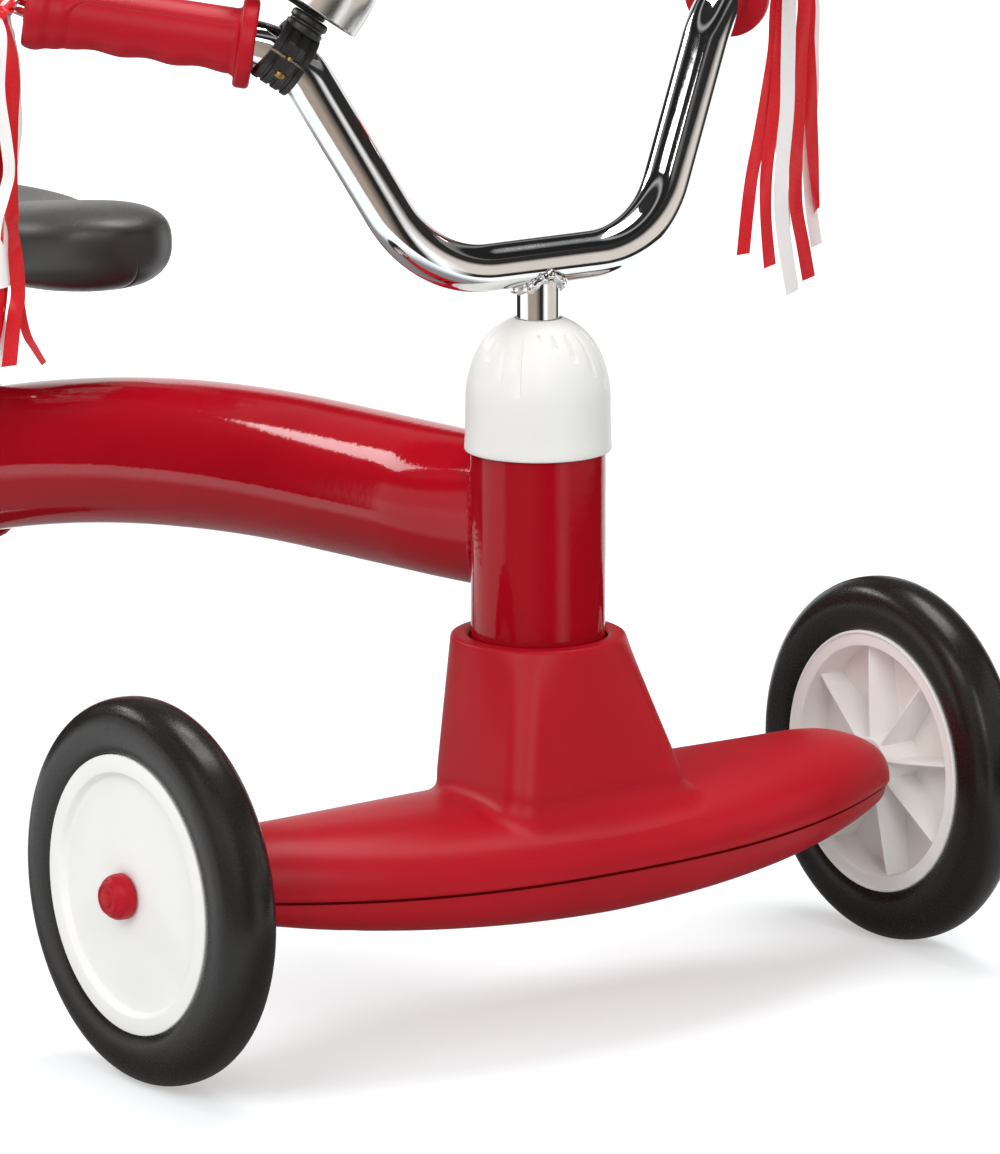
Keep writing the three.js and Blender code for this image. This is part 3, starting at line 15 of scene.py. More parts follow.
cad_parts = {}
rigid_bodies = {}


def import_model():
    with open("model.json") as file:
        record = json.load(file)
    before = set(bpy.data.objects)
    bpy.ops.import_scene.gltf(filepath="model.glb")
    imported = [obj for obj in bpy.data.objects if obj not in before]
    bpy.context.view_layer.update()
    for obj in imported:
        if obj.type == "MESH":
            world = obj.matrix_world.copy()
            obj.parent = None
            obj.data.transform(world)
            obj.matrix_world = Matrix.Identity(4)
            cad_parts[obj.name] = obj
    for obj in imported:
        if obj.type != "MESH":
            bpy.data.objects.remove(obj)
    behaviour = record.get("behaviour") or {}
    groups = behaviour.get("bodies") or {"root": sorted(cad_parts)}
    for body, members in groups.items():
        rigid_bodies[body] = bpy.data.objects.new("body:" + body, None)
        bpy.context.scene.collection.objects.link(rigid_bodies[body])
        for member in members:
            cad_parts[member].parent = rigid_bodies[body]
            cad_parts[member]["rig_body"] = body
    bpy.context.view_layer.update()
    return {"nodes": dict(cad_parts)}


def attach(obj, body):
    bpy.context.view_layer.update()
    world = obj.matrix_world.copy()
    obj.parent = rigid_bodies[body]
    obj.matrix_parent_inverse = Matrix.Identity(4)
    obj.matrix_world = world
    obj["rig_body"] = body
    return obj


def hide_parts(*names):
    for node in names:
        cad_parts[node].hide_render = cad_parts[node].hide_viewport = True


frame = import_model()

# %% [markdown]
# ## The camera
# The picture was taken from the front right with a long lens, so parallel edges hardly converge.
# A camera can be found by trial, but here the wheels were measured as ellipses, and the distance,
# height and lens that fit all of them together were kept. The two shifts slide the frame across
# the view, as when a picture is cropped off centre, without turning the camera.

# %% Place the camera
STEERING_Y = -0.253
AIM_HEIGHT = 0.150
AZIMUTH, ELEVATION, DISTANCE = -0.6285, 0.2262, 2.9421
view_way = Vector((
    -math.sin(AZIMUTH) * math.cos(ELEVATION),
    math.cos(AZIMUTH) * math.cos(ELEVATION),
    -math.sin(ELEVATION),
))
portrait = bpy.data.cameras.new("portrait")
portrait.lens = 230.86
portrait.shift_x, portrait.shift_y = -0.03296, 0.05737
camera = bpy.data.objects.new("portrait_camera", portrait)
camera.location = Vector((0, STEERING_Y, AIM_HEIGHT)) - view_way * DISTANCE
camera.rotation_euler = view_way.to_track_quat("-Z", "Y").to_euler()
bpy.context.scene.collection.objects.link(camera)
bpy.context.scene.camera = camera
print("camera at", [round(v, 3) for v in camera.location])

# %% [markdown]
# ## Tools for making meshes
# Nearly all of this toy is turned on a lathe, swept along a bent tube or moulded between
# cross-sections. All three are the same act: rings of points, joined by a skin. So one function
# skins rings, and small ones make the rings. Sizes are written in millimetres, as on a drawing.

# %% Points, and a piece that rides on its solid's body
MM = 0.001
X_WAY, Y_WAY, Z_WAY = Vector((1, 0, 0)), Vector((0, 1, 0)), Vector((0, 0, 1))


def at(x, back, z):
    """A point in millimetres: across, back from the steering line, and up from the ground."""
    return Vector((x * MM, STEERING_Y + back * MM, z * MM))


def make_piece(name, points, faces, material, *nodes, sharp=40):
    """A mesh in the place of the named solids, smooth but for edges sharper than an angle."""
    mesh = bpy.data.meshes.new(name)
    mesh.from_pydata([tuple(p) for p in points], [], faces)
    work = bmesh.new()
    work.from_mesh(mesh)
    bmesh.ops.remove_doubles(work, verts=work.verts, dist=1e-6)
    bmesh.ops.dissolve_degenerate(work, edges=work.edges, dist=1e-7)
    bmesh.ops.recalc_face_normals(work, faces=work.faces)
    work.to_mesh(mesh)
    work.free()
    mesh.shade_smooth()
    mesh.set_sharp_from_angle(angle=math.radians(sharp))
    mesh.materials.append(material)
    piece = bpy.data.objects.new(name, mesh)
    bpy.context.scene.collection.objects.link(piece)
    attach(piece, frame["nodes"][nodes[0]]["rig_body"])
    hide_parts(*nodes)
    return piece


# %% Skin rings of points
def skin(rings, closed=True, capped=True):
    """Joins rings of equal length with quads. Closed rings may get a face over each end."""
    count = len(rings[0])
    points = [p for ring in rings for p in ring]
    faces = []
    for r in range(len(rings) - 1):
        for i in range(count if closed else count - 1):
            j = (i + 1) % count
            a = r * count
            faces.append((a + i, a + j, a + count + j, a + count + i))
    if closed and capped:
        faces.append(tuple(range(count))[::-1])
        faces.append(tuple(range(len(points) - count, len(points))))
    return points, faces


def several(*parts):
    """Puts skins together as one mesh."""
    points, faces = [], []
    for some_points, some_faces in parts:
        start = len(points)
        points += some_points
        faces += [tuple(start + i for i in face) for face in some_faces]
    return points, faces


# %% Angles round a circle, and a soft step
def angles_round(steps):
    """Angles at equal steps, once round."""
    return [2 * math.pi * k / steps for k in range(steps)]


def eased_step(value, width):
    """Rises softly from 0 to 1 while a value goes from 0 to a width."""
    t = min(1, max(0, value / width))
    return t * t * (3 - 2 * t)


# %% Round the corners of an outline
def eased(corners, reach, steps=3, closed=False):
    """Replaces each corner by a short bend that starts at most reach away from it."""
    corners = [Vector(c) for c in corners]
    count = len(corners)
    result = []
    for i, corner in enumerate(corners):
        if not closed and i in (0, count - 1):
            result.append(corner)
            continue
        before, after = corners[i - 1] - corner, corners[(i + 1) % count] - corner
        size = min(reach, 0.45 * before.length, 0.45 * after.length)
        start = corner + before.normalized() * size
        end = corner + after.normalized() * size
        for k in range(steps + 1):
            t = k / steps
            result.append(start * (1 - t) ** 2 + corner * 2 * t * (1 - t) + end * t * t)
    return result


# %% Turn a profile about an axis
def turned(profile, centre, axis, steps, closed=True):
    """A profile of (radius, along) millimetres, turned about an axis through a point."""
    axis = axis.normalized()
    side = axis.orthogonal().normalized()
    other = axis.cross(side)
    profile = [Vector(p) for p in profile]
    if closed:
        profile.append(profile[0])
    rings = []
    for radius, along in profile:
        ring = []
        for angle in angles_round(steps):
            way = side * math.cos(angle) + other * math.sin(angle)
            ring.append(centre + (way * radius + axis * along) * MM)
        rings.append(ring)
    return skin(rings, capped=False)


def turn_piece(node, profile, centre, axis, steps, material, closed=True):
    """A turned skin in the place of one solid."""
    return make_piece(f"{node}_skin", *turned(profile, centre, axis, steps, closed), material, node)


# %% Cut a skin out of a piece
def bore(piece, cutter_skin, sharp):
    """Cuts a closed skin of rings out of a piece, and drops the cutter."""
    mesh = bpy.data.meshes.new("cutter")
    mesh.from_pydata([tuple(p) for p in cutter_skin[0]], [], cutter_skin[1])
    cutter = bpy.data.objects.new("cutter", mesh)
    bpy.context.scene.collection.objects.link(cutter)
    cut = piece.modifiers.new("bore", "BOOLEAN")
    cut.object, cut.solver = cutter, "EXACT"
    bpy.context.view_layer.update()
    seen = piece.evaluated_get(bpy.context.evaluated_depsgraph_get())
    result = bpy.data.meshes.new_from_object(seen)
    piece.modifiers.remove(cut)
    piece.data = result
    bpy.data.objects.remove(cutter)
    result.shade_smooth()
    result.set_sharp_from_angle(angle=math.radians(sharp))


# %% Sweep a round section along a route
def carried_frames(route):
    """At each point of a route, its direction and two directions across it that don't twist."""
    frames = []
    side = None
    for i, point in enumerate(route):
        ahead = route[min(i + 1, len(route) - 1)]
        behind = route[max(i - 1, 0)]
        way = (ahead - behind).normalized()
        side = way.orthogonal() if side is None else side - way * side.dot(way)
        side.normalize()
        frames.append((point, way, side.copy(), way.cross(side)))
    return frames


def swept(route, radius, sides):
    """A tube round a route; the radius in millimetres may be a function of the share of the way."""
    rings = []
    for i, (point, way, side, other) in enumerate(carried_frames(route)):
        size = radius(i / (len(route) - 1)) if callable(radius) else radius
        rings.append([
            point + (side * math.cos(a) + other * math.sin(a)) * size * MM
            for a in angles_round(sides)
        ])
    return skin(rings)


# %% [markdown]
# ## Finishes
# A moulded part is never one flat colour: pigment drifts a little, the mould leaves a fine grain,
# and gloss changes with it. These effects are the same on every part and only their sizes differ,
# so each is a node group, built once. The shader itself stays in each material, where its fixed
# values are easy to read. All the patterns are worked out in space, so no mesh needs unwrapping.

# %% Inks and node groups
def ink(red, green, blue):
    """A colour as read off a screen, 0 to 255, turned into the light that Blender counts in."""
    def linear(v):
        v /= 255
        return v / 12.92 if v <= 0.04045 else ((v + 0.055) / 1.055) ** 2.4
    return (linear(red), linear(green), linear(blue), 1.0)


def new_group(name, inputs, outputs):
    group = bpy.data.node_groups.new(name, "ShaderNodeTree")
    for label, value in inputs:
        socket = group.interface.new_socket(label, in_out="INPUT", socket_type="NodeSocketFloat")
        socket.default_value = value
    for label in outputs:
        group.interface.new_socket(label, in_out="OUTPUT", socket_type="NodeSocketFloat")
    return group, group.nodes.new("NodeGroupInput"), group.nodes.new("NodeGroupOutput")


# %% Small helpers for node trees
def reckon(tree, operation, first, second, clamped=False):
    """One sum or product of two sockets, as a Math node's output."""
    step = tree.nodes.new("ShaderNodeMath")
    step.operation, step.use_clamp = operation, clamped
    tree.links.new(first, step.inputs[0])
    tree.links.new(second, step.inputs[1])
    return step.outputs["Value"]


def colours_mixed(tree, factor, first, second):
    """Two colours mixed by a socket. Each colour is an ink or a socket."""
    mix = tree.nodes.new("ShaderNodeMix")
    mix.data_type = "RGBA"
    tree.links.new(factor, mix.inputs["Factor"])
    for label, colour in (("A", first), ("B", second)):
        if isinstance(colour, tuple):
            mix.inputs[label].default_value = colour
        else:
            tree.links.new(colour, mix.inputs[label])
    return mix.outputs["Result"]


def ranged(tree, value, low, high, to_low=0.0, to_high=1.0):
    """A value's range from low to high, laid out over another range."""
    spread = tree.nodes.new("ShaderNodeMapRange")
    for label, number in (("From Min", low), ("From Max", high), ("To Min", to_low),
                          ("To Max", to_high)):
        spread.inputs[label].default_value = number
    tree.links.new(value, spread.inputs["Value"])
    return spread.outputs["Result"]


def as_colour(tone):
    return tone if isinstance(tone, tuple) else (tone, tone, tone, 1)


def ramp_of(tree, value, first, *between, last):
    """A colour ramp through stops of (place, colour), where a plain number is a grey."""
    ramp = tree.nodes.new("ShaderNodeValToRGB")
    marks = ramp.color_ramp.elements
    marks[0].position, marks[1].position = first[0], last[0]
    marks[0].color, marks[1].color = as_colour(first[1]), as_colour(last[1])
    for place, tone in between:
        marks.new(place).color = as_colour(tone)
    tree.links.new(value, ramp.inputs["Fac"])
    return ramp.outputs["Color"]


# %% [markdown]
# ### Moulded surface
# Tone is the slow drift of the pigment over a few centimetres. Grain is the fine relief that the
# mould leaves. Both are noise, the cheapest pattern that never repeats.

# %% Group: moulded surface
moulding, into, out = new_group(
    "moulded_surface", [("Drift", 18.0), ("Grain", 1400.0)], ["Tone", "Grain"])
place = moulding.nodes.new("ShaderNodeTexCoord")
for label, detail, rough in (("Drift", 3.0, 0.5), ("Grain", 2.0, 0.6)):
    cloud = moulding.nodes.new("ShaderNodeTexNoise")
    cloud.inputs["Detail"].default_value = detail
    cloud.inputs["Roughness"].default_value = rough
    moulding.links.new(place.outputs["Object"], cloud.inputs["Vector"])
    moulding.links.new(into.outputs[label], cloud.inputs["Scale"])
    spread = ranged(moulding, cloud.outputs["Fac"], 0.3, 0.7)
    moulding.links.new(spread, out.inputs["Tone" if label == "Drift" else "Grain"])
print("group:", moulding.name)

# %% [markdown]
# ### Settled dust, and a painted sheen on tops
# A used floor toy has a breath of dust on whatever faces up. In a large amount the same pale layer
# is a painted sheen, the paler top that light from above gives. The surface's own normal says how
# far up it faces, and noise breaks the edge, so that it doesn't look sprayed on.

# %% Group: settled dust and painted sheen
dust_and_sheen_group, into, out = new_group("dust_and_painted_sheen", [("Amount", 0.3), ("Speck size", 900.0)], ["Dust"])
facing = dust_and_sheen_group.nodes.new("ShaderNodeNewGeometry")
parts = dust_and_sheen_group.nodes.new("ShaderNodeSeparateXYZ")
dust_and_sheen_group.links.new(facing.outputs["Normal"], parts.inputs["Vector"])
# How far a face looks up: where dust settles, and where the painted sheen of a lit top goes.
up = ranged(dust_and_sheen_group, parts.outputs["Z"], 0.35, 1.0)
place = dust_and_sheen_group.nodes.new("ShaderNodeTexCoord")
specks = dust_and_sheen_group.nodes.new("ShaderNodeTexNoise")
specks.inputs["Detail"].default_value = 4.0
dust_and_sheen_group.links.new(place.outputs["Object"], specks.inputs["Vector"])
dust_and_sheen_group.links.new(into.outputs["Speck size"], specks.inputs["Scale"])
broken = reckon(dust_and_sheen_group, "MULTIPLY", up, specks.outputs["Fac"])
amount = reckon(dust_and_sheen_group, "MULTIPLY", broken, into.outputs["Amount"])
dust_and_sheen_group.links.new(amount, out.inputs["Dust"])
print("group:", dust_and_sheen_group.name)

# %% [markdown]
# ### A finish from its parts
# Every material below has the same skeleton: two tones mixed by the drift, a little dust over
# them, gloss that follows the grain, and the grain as bump. On the saddle the dust is mostly a
# painted sheen on its top. A function lays that skeleton, and whatever is special to one finish
# is added after it.


# %% Lay a finish
# The pale grey of dust, which is also the colour of the painted sheen on the saddle's top.
DUST_AND_SHEEN_INK = ink(176, 170, 162)


def lay_finish(name, slot, tones, gloss, grain=1400.0, relief=0.02, dust_and_sheen=0.2, metal=0.0, shine=0.5):
    """Tones are two inks, gloss the lowest and highest roughness, relief the bump in millimetres,
    and shine the strength of reflections straight on."""
    material = bpy.data.materials.new(name)
    material.use_nodes = True
    material["slot"] = slot
    tree = material.node_tree
    shader = tree.nodes["Principled BSDF"]
    shader.inputs["Metallic"].default_value = metal
    shader.inputs["Specular IOR Level"].default_value = shine
    surface = tree.nodes.new("ShaderNodeGroup")
    surface.node_tree = moulding
    surface.inputs["Grain"].default_value = grain
    # Dust on faces that look up; in a large amount, as on the saddle, it is a painted sheen.
    dust_and_sheen_layer = tree.nodes.new("ShaderNodeGroup")
    dust_and_sheen_layer.node_tree = dust_and_sheen_group
    dust_and_sheen_layer.inputs["Amount"].default_value = dust_and_sheen
    tone = colours_mixed(tree, surface.outputs["Tone"], *tones)
    with_dust_and_sheen = colours_mixed(tree, dust_and_sheen_layer.outputs["Dust"], tone, DUST_AND_SHEEN_INK)
    tree.links.new(with_dust_and_sheen, shader.inputs["Base Color"])
    tree.links.new(ranged(tree, surface.outputs["Grain"], 0, 1, *gloss), shader.inputs["Roughness"])
    bump = tree.nodes.new("ShaderNodeBump")
    bump.inputs["Strength"].default_value = 1.0
    bump.inputs["Distance"].default_value = relief * MM
    tree.links.new(surface.outputs["Grain"], bump.inputs["Height"])
    tree.links.new(bump.outputs["Normal"], shader.inputs["Normal"])
    return material


# %% [markdown]
# ### Painted steel
# The beam and head tube are powder coated, a deep red with a clear, wet gloss. Powder coat flows
# out into soft ripples a few millimetres across, called orange peel. They are what tears the edge
# of a highlight on the beam, so they matter more here than the colour does.

# %% Painted steel
paint_red = lay_finish(
    "paint_red", "paint_red", (ink(154, 9, 23), ink(164, 12, 27)), (0.04, 0.08),
    grain=300.0, relief=0.022, dust_and_sheen=0.0, shine=0.2)
print("finish:", paint_red.name)

# %% [markdown]
# ### Moulded red plastic
# The housing, grips and axle caps are injection moulded in a brighter red, with a satin skin from
# a lightly blasted mould.

# %% Moulded red plastic
moulded_red = lay_finish(
    "moulded_red", "moulded_red", (ink(168, 10, 25), ink(178, 13, 30)), (0.34, 0.46),
    grain=1800.0, relief=0.012, dust_and_sheen=0.0, shine=0.2)
print("finish:", moulded_red.name)

# %% [markdown]
# ### White plastics
# The cap over the head tube is a clean white, and the hubs are a shade brighter and duller in
# gloss. The bushes are raw nylon, which is never quite white.

# %% White plastics
cap_white = lay_finish(
    "cap_white", "cap_white", (ink(229, 227, 222), ink(235, 233, 229)), (0.3, 0.42),
    grain=1600.0, relief=0.008, dust_and_sheen=0.02, shine=0.35)
hub_white = lay_finish(
    "hub_white", "hub_white", (ink(238, 236, 232), ink(244, 242, 239)), (0.4, 0.52),
    grain=1500.0, relief=0.01, dust_and_sheen=0.02, shine=0.3)
nylon = lay_finish(
    "nylon", "nylon", (ink(214, 210, 198), ink(222, 219, 208)), (0.45, 0.6), dust_and_sheen=0.05)
print("finishes:", cap_white.name, hub_white.name, nylon.name)

# %% [markdown]
# ### Tyre
# The tyres are blow-moulded black plastic, near black with a waxy gloss. Up close the highlight is
# grainy, so the grain is coarser than on the other plastics.

# %% Tyre
tyre_black = lay_finish(
    "tyre_black", "tyre", (ink(27, 24, 22), ink(35, 31, 29)), (0.2, 0.32),
    grain=1000.0, relief=0.012, dust_and_sheen=0.0, shine=0.28)
print("finish:", tyre_black.name)

# %% [markdown]
# ### Black plastics
# The saddle is a satin moulding, the bell's clamp and lever a duller one.

# %% Black plastics
# Its large dust amount is mostly a painted sheen: it lays a paler grey on the saddle's top.
saddle_black = lay_finish(
    "saddle_black", "saddle_black", (ink(38, 35, 33), ink(47, 44, 41)), (0.32, 0.44),
    grain=1300.0, relief=0.02, dust_and_sheen=0.24, shine=0.5)
clamp_black = lay_finish(
    "clamp_black", "black_plastic", (ink(24, 23, 23), ink(32, 31, 30)), (0.32, 0.48),
    grain=1500.0, relief=0.015, dust_and_sheen=0.06)
print("finishes:", saddle_black.name, clamp_black.name)

# %% [markdown]
# ### Chrome
# Polished chrome has almost no colour of its own and shows the studio. What keeps it from looking
# like a computer's mirror is that the tube under it is not quite round: a slow, faint waviness.

# %% Chrome
chrome = lay_finish(
    "chrome", "chrome", (ink(224, 225, 226), ink(234, 235, 236)), (0.035, 0.08),
    grain=90.0, relief=0.012, dust_and_sheen=0.01, metal=1.0)
print("finish:", chrome.name)

# %% [markdown]
# ### Brushed chrome, zinc and brass
# The bell's dome is brushed round its axis before plating. Screws and spacers are zinc plated, and
# the clamp's screw is brass.

# %% Brushed chrome, zinc and brass
brushed_chrome = lay_finish(
    "brushed_chrome", "brushed_chrome", (ink(206, 205, 203), ink(216, 215, 213)), (0.19, 0.27),
    grain=1500.0, relief=0.003, dust_and_sheen=0.02, metal=1.0)
zinc = lay_finish(
    "zinc", "zinc_steel", (ink(168, 170, 172), ink(188, 190, 192)), (0.28, 0.42),
    grain=700.0, relief=0.02, dust_and_sheen=0.04, metal=1.0)
brass = lay_finish(
    "brass", "brass", (ink(150, 122, 74), ink(168, 138, 84)), (0.3, 0.45),
    grain=900.0, relief=0.015, dust_and_sheen=0.03, metal=1.0)
print("finishes:", brushed_chrome.name, zinc.name, brass.name)

# %% [markdown]
# ### Ribbon
# The streamers are thin plastic film, in red and white. Film is glossy and lets some light
# through, so a ribbon behind another stays bright.

# %% Ribbon
ribbon_red = lay_finish(
    "ribbon_red", "ribbon", (ink(212, 14, 28), ink(226, 22, 36)), (0.26, 0.34),
    grain=1400.0, relief=0.004, dust_and_sheen=0.0)
ribbon_white = lay_finish(
    "ribbon_white", "ribbon", (ink(249, 248, 246), ink(252, 251, 249)), (0.26, 0.34),
    grain=1400.0, relief=0.004, dust_and_sheen=0.0)
for film in (ribbon_red, ribbon_white):
    tree = film.node_tree
    shader = tree.nodes["Principled BSDF"]
    through = tree.nodes.new("ShaderNodeBsdfTranslucent")
    tree.links.new(shader.inputs["Base Color"].links[0].from_socket, through.inputs["Color"])
    share = tree.nodes.new("ShaderNodeMixShader")
    share.inputs[0].default_value = 0.1
    tree.links.new(shader.outputs["BSDF"], share.inputs[1])
    tree.links.new(through.outputs["BSDF"], share.inputs[2])
    tree.links.new(share.outputs["Shader"], tree.nodes["Material Output"].inputs["Surface"])
print("finishes:", ribbon_red.name, ribbon_white.name)

# %% [markdown]
# ## Wheels
# Each wheel is a tyre like a fat ring, a hub with a flat rim and a shallow cone, and a bush on the
# axle. All are turned. Only the hub's inner side has something a lathe can't make: eight ribs from
# the boss to the rim, wedge shaped, which stop the thin web from buckling.


# %% Tyre and hub profiles
AXLE_HEIGHT, FRONT_AXLE_Y, REAR_AXLE_Y, HALF_TRACK = 76, -250, 250, 183


def power_arc(radius, width, centre, power, steps):
    """Half an oval, from -width to +width, squarer than an ellipse for powers above two."""
    arc = []
    for k in range(steps + 1):
        angle = math.pi * k / steps
        across = -math.copysign(abs(math.cos(angle)) ** (2 / power), math.cos(angle))
        arc.append((centre + radius * math.sin(angle) ** (2 / power), across * width))
    return arc


tyre_profile = [(55.2, -10.3), (56.6, -11.3), (59.5, -12.2)]
tyre_profile += power_arc(11.6, 12.5, 64.4, 2.3, 40)
tyre_profile += [(59.5, 12.2), (56.6, 11.3), (55.2, 10.3)]
hub_profile = eased([
    (6.5, -11.5), (10, -11.5), (11, 5.6), (47.9, 4.0), (48.2, -10.5), (53.2, -10.5),
    (53.6, -11.2), (54.5, -11.2), (54.9, -10.2), (54.9, 11.2), (47.8, 11.2), (46.6, 8.2),
    (12.6, 10.9), (6.5, 10.9),
], 0.7, closed=True)
print("tyre points:", len(tyre_profile), "hub points:", len(hub_profile))


# %% Hub ribs
def hub_ribs(centre, out, phase):
    """Eight wedge ribs behind the web, bevelled along their free edge."""
    ribs = []
    for turn in angles_round(8):
        angle = phase + turn
        radial = Vector((0, -math.cos(angle), math.sin(angle)))
        thick = out.cross(radial)
        rings = []
        for radius, crest in ((9.4, -10.4), (20, -9.6), (34, -8.4), (48.4, -7.0)):
            foot = 6.4 - radius * 0.03
            section = [(foot, 0.85), (crest + 0.4, 0.6), (crest, 0.3), (crest, -0.3),
                       (crest + 0.4, -0.6), (foot, -0.85)]
            rings.append([centre + (radial * radius + out * u + thick * t) * MM
                          for u, t in section])
        ribs.append(skin(rings))
    return several(*ribs)


# %% Put the wheels on
def make_wheel(name, x, y, side):
    centre = Vector((x, y, AXLE_HEIGHT)) * MM
    out = Vector((side, 0, 0))
    turn_piece(f"{name}_tyre", tyre_profile, centre, out, 128, tyre_black)
    ribs = hub_ribs(centre, out, math.radians(8 * side))
    hub = several(turned(hub_profile, centre, out, 128), ribs)
    make_piece(f"{name}_hub_skin", *hub, hub_white, f"{name}_hub", sharp=50)
    bush = eased([(4.3, -11.5), (6.2, -11.5), (6.2, 10.8), (4.3, 10.8)], 0.3, closed=True)
    turn_piece(f"{name}_bush", bush, centre, out, 40, nylon)


make_wheel("front_left", HALF_TRACK, FRONT_AXLE_Y, 1)
make_wheel("front_right", -HALF_TRACK, FRONT_AXLE_Y, -1)
make_wheel("rear", 0, REAR_AXLE_Y, 1)
print("wheels on:", 3)

# %% [markdown]
# ## Axles, spacers and the round red caps
# A cap hides each end of the front axle. Its nose steps down in fine rings, which catch the light.

# %% Front axle group
cap_profile = eased([
    (4.3, 11.5), (8.6, 11.5), (9, 12), (9, 14.8), (8.7, 16.4), (7.7, 18.2), (6.4, 19.2),
    (6.2, 20.0), (5.0, 20.3), (4.8, 19.8), (3.6, 20.0), (3.4, 20.6), (2.0, 21.0), (0, 21.2),
    (0, 17.3), (4.3, 17.3),
], 0.35, closed=True)
front_spacer = eased([(4.3, -24.7), (5.5, -24.7), (5.5, -11.8), (4.3, -11.8)], 0.3, closed=True)
for name, side in (("left", 1), ("right", -1)):
    centre = Vector((HALF_TRACK * side, FRONT_AXLE_Y, AXLE_HEIGHT)) * MM
    turn_piece(f"axle_cap_{name}", cap_profile, centre, X_WAY * side, 72, moulded_red)
    turn_piece(f"front_spacer_{name}", front_spacer, centre, X_WAY * side, 40, nylon)
print("axle caps:", 2)

# %% [markdown]
# ## The front housing
# The housing is the hardest form here: a long arched shell with a boot growing out of its middle,
# blended by a soft fillet, and no seam anywhere between them. Two solids joined by a boolean would
# leave a hard line and ragged shading. Instead the whole upper shell is one net of rays that start
# on the steering line, climb the boot, run down its wall, round the fillet and over the arch to
# the rim. The plan is drawn first: how wide the shell is at each place across.

# %% Plan and arch of the shell
HALF_LENGTH, PARTING = 170.3, 70.0
UPPER_SEAM = PARTING + 0.75
CROWN, RUNOUT = 24.25, 42.0


def shell_edges(x, inset=0.0):
    """Front and rear edge of the shell, back from the steering line, at a place across."""
    reach = HALF_LENGTH - inset
    share = min(abs(x) / reach, 1)
    front = -64 + 46 * share ** 2.3 + inset
    rear = 42 - 27 * share ** 2 - inset
    past = min(max(0, (abs(x) - reach + 15) / 15), 1)
    narrow = (1 - past ** 2.6) ** (1 / 2.6)
    middle, half = (front + rear) / 2, narrow * (rear - front) / 2
    return middle - half, middle + half


def arch_rise(x, back):
    """How far the shell stands above its parting line over a place in its plan."""
    front, rear = shell_edges(x)
    half = (rear - front) / 2
    if half < 1e-6:
        return 0.0
    across = min(abs(back - (front + rear) / 2) / half, 1)
    fallen = min(max(0, (abs(x) - HALF_LENGTH + RUNOUT) / RUNOUT), 1)
    return CROWN * (1 - fallen ** 2.2) ** (1 / 2.2) * (1 - across ** 2.4) ** (1 / 2.4)


def seam_rise(x):
    """The parting line climbs a little towards the tips."""
    return 3.6 * min(abs(x) / HALF_LENGTH, 1) ** 3


print("shell at the middle:", shell_edges(0), "crown", round(UPPER_SEAM + arch_rise(0, -11), 1))


# %% Rays at equal steps round the rim
def rim_outline(count):
    """Points at equal steps round the plan, found by walking it finely and measuring."""
    half = [HALF_LENGTH * math.sin(math.pi / 2 * k / 400) for k in range(-400, 401)]
    walk = [(x, shell_edges(x)[0]) for x in half]
    walk += [(x, shell_edges(x)[1]) for x in reversed(half)]
    lengths = [0.0]
    for a, b in zip(walk, walk[1:] + walk[:1]):
        lengths.append(lengths[-1] + math.dist(a, b))
    rim, k = [], 0
    for i in range(count):
        want = lengths[-1] * i / count
        while lengths[k + 1] < want:
            k += 1
        a, b = walk[k], walk[(k + 1) % len(walk)]
        t = (want - lengths[k]) / max(lengths[k + 1] - lengths[k], 1e-9)
        rim.append((a[0] + (b[0] - a[0]) * t, a[1] + (b[1] - a[1]) * t))
    return rim


rim = rim_outline(440)
print("rim points:", len(rim))

# %% [markdown]
# The boot's foot is round behind and square shouldered in front. It is the outline of a string
# pulled round three discs. The distance to that string in any direction is the least that any
# straight edge against the discs allows.

# %% The boot's foot
BOOT_DISCS = ((0, 0, 40.4), (31.6, -35.2, 11.8), (-31.6, -35.2, 11.8))


def foot_reach(angle):
    def touch(lean):
        normal = angle + lean
        edge = max(x * math.cos(normal) + y * math.sin(normal) + r for x, y, r in BOOT_DISCS)
        return edge / math.cos(lean)

    best = min((touch(1.54 * k / 80), 1.54 * k / 80) for k in range(-80, 81))
    for finer in (0.02, 0.0005):
        leans = [best[1] + finer * k / 20 for k in range(-20, 21)]
        best = min((touch(lean), lean) for lean in leans)
    return best[0]


quarter = math.pi / 2
print("foot ahead, aside, behind:", [round(foot_reach(a), 1) for a in (-quarter, 0, quarter)])


# %% One ray of the shell, from the collar to the rim
COLLAR_TOP, COLLAR_FOOT, COLLAR_BORE, COLLAR_REACH = 154.5, 149, 27.6, 34.8
WALL_FOOT = 98


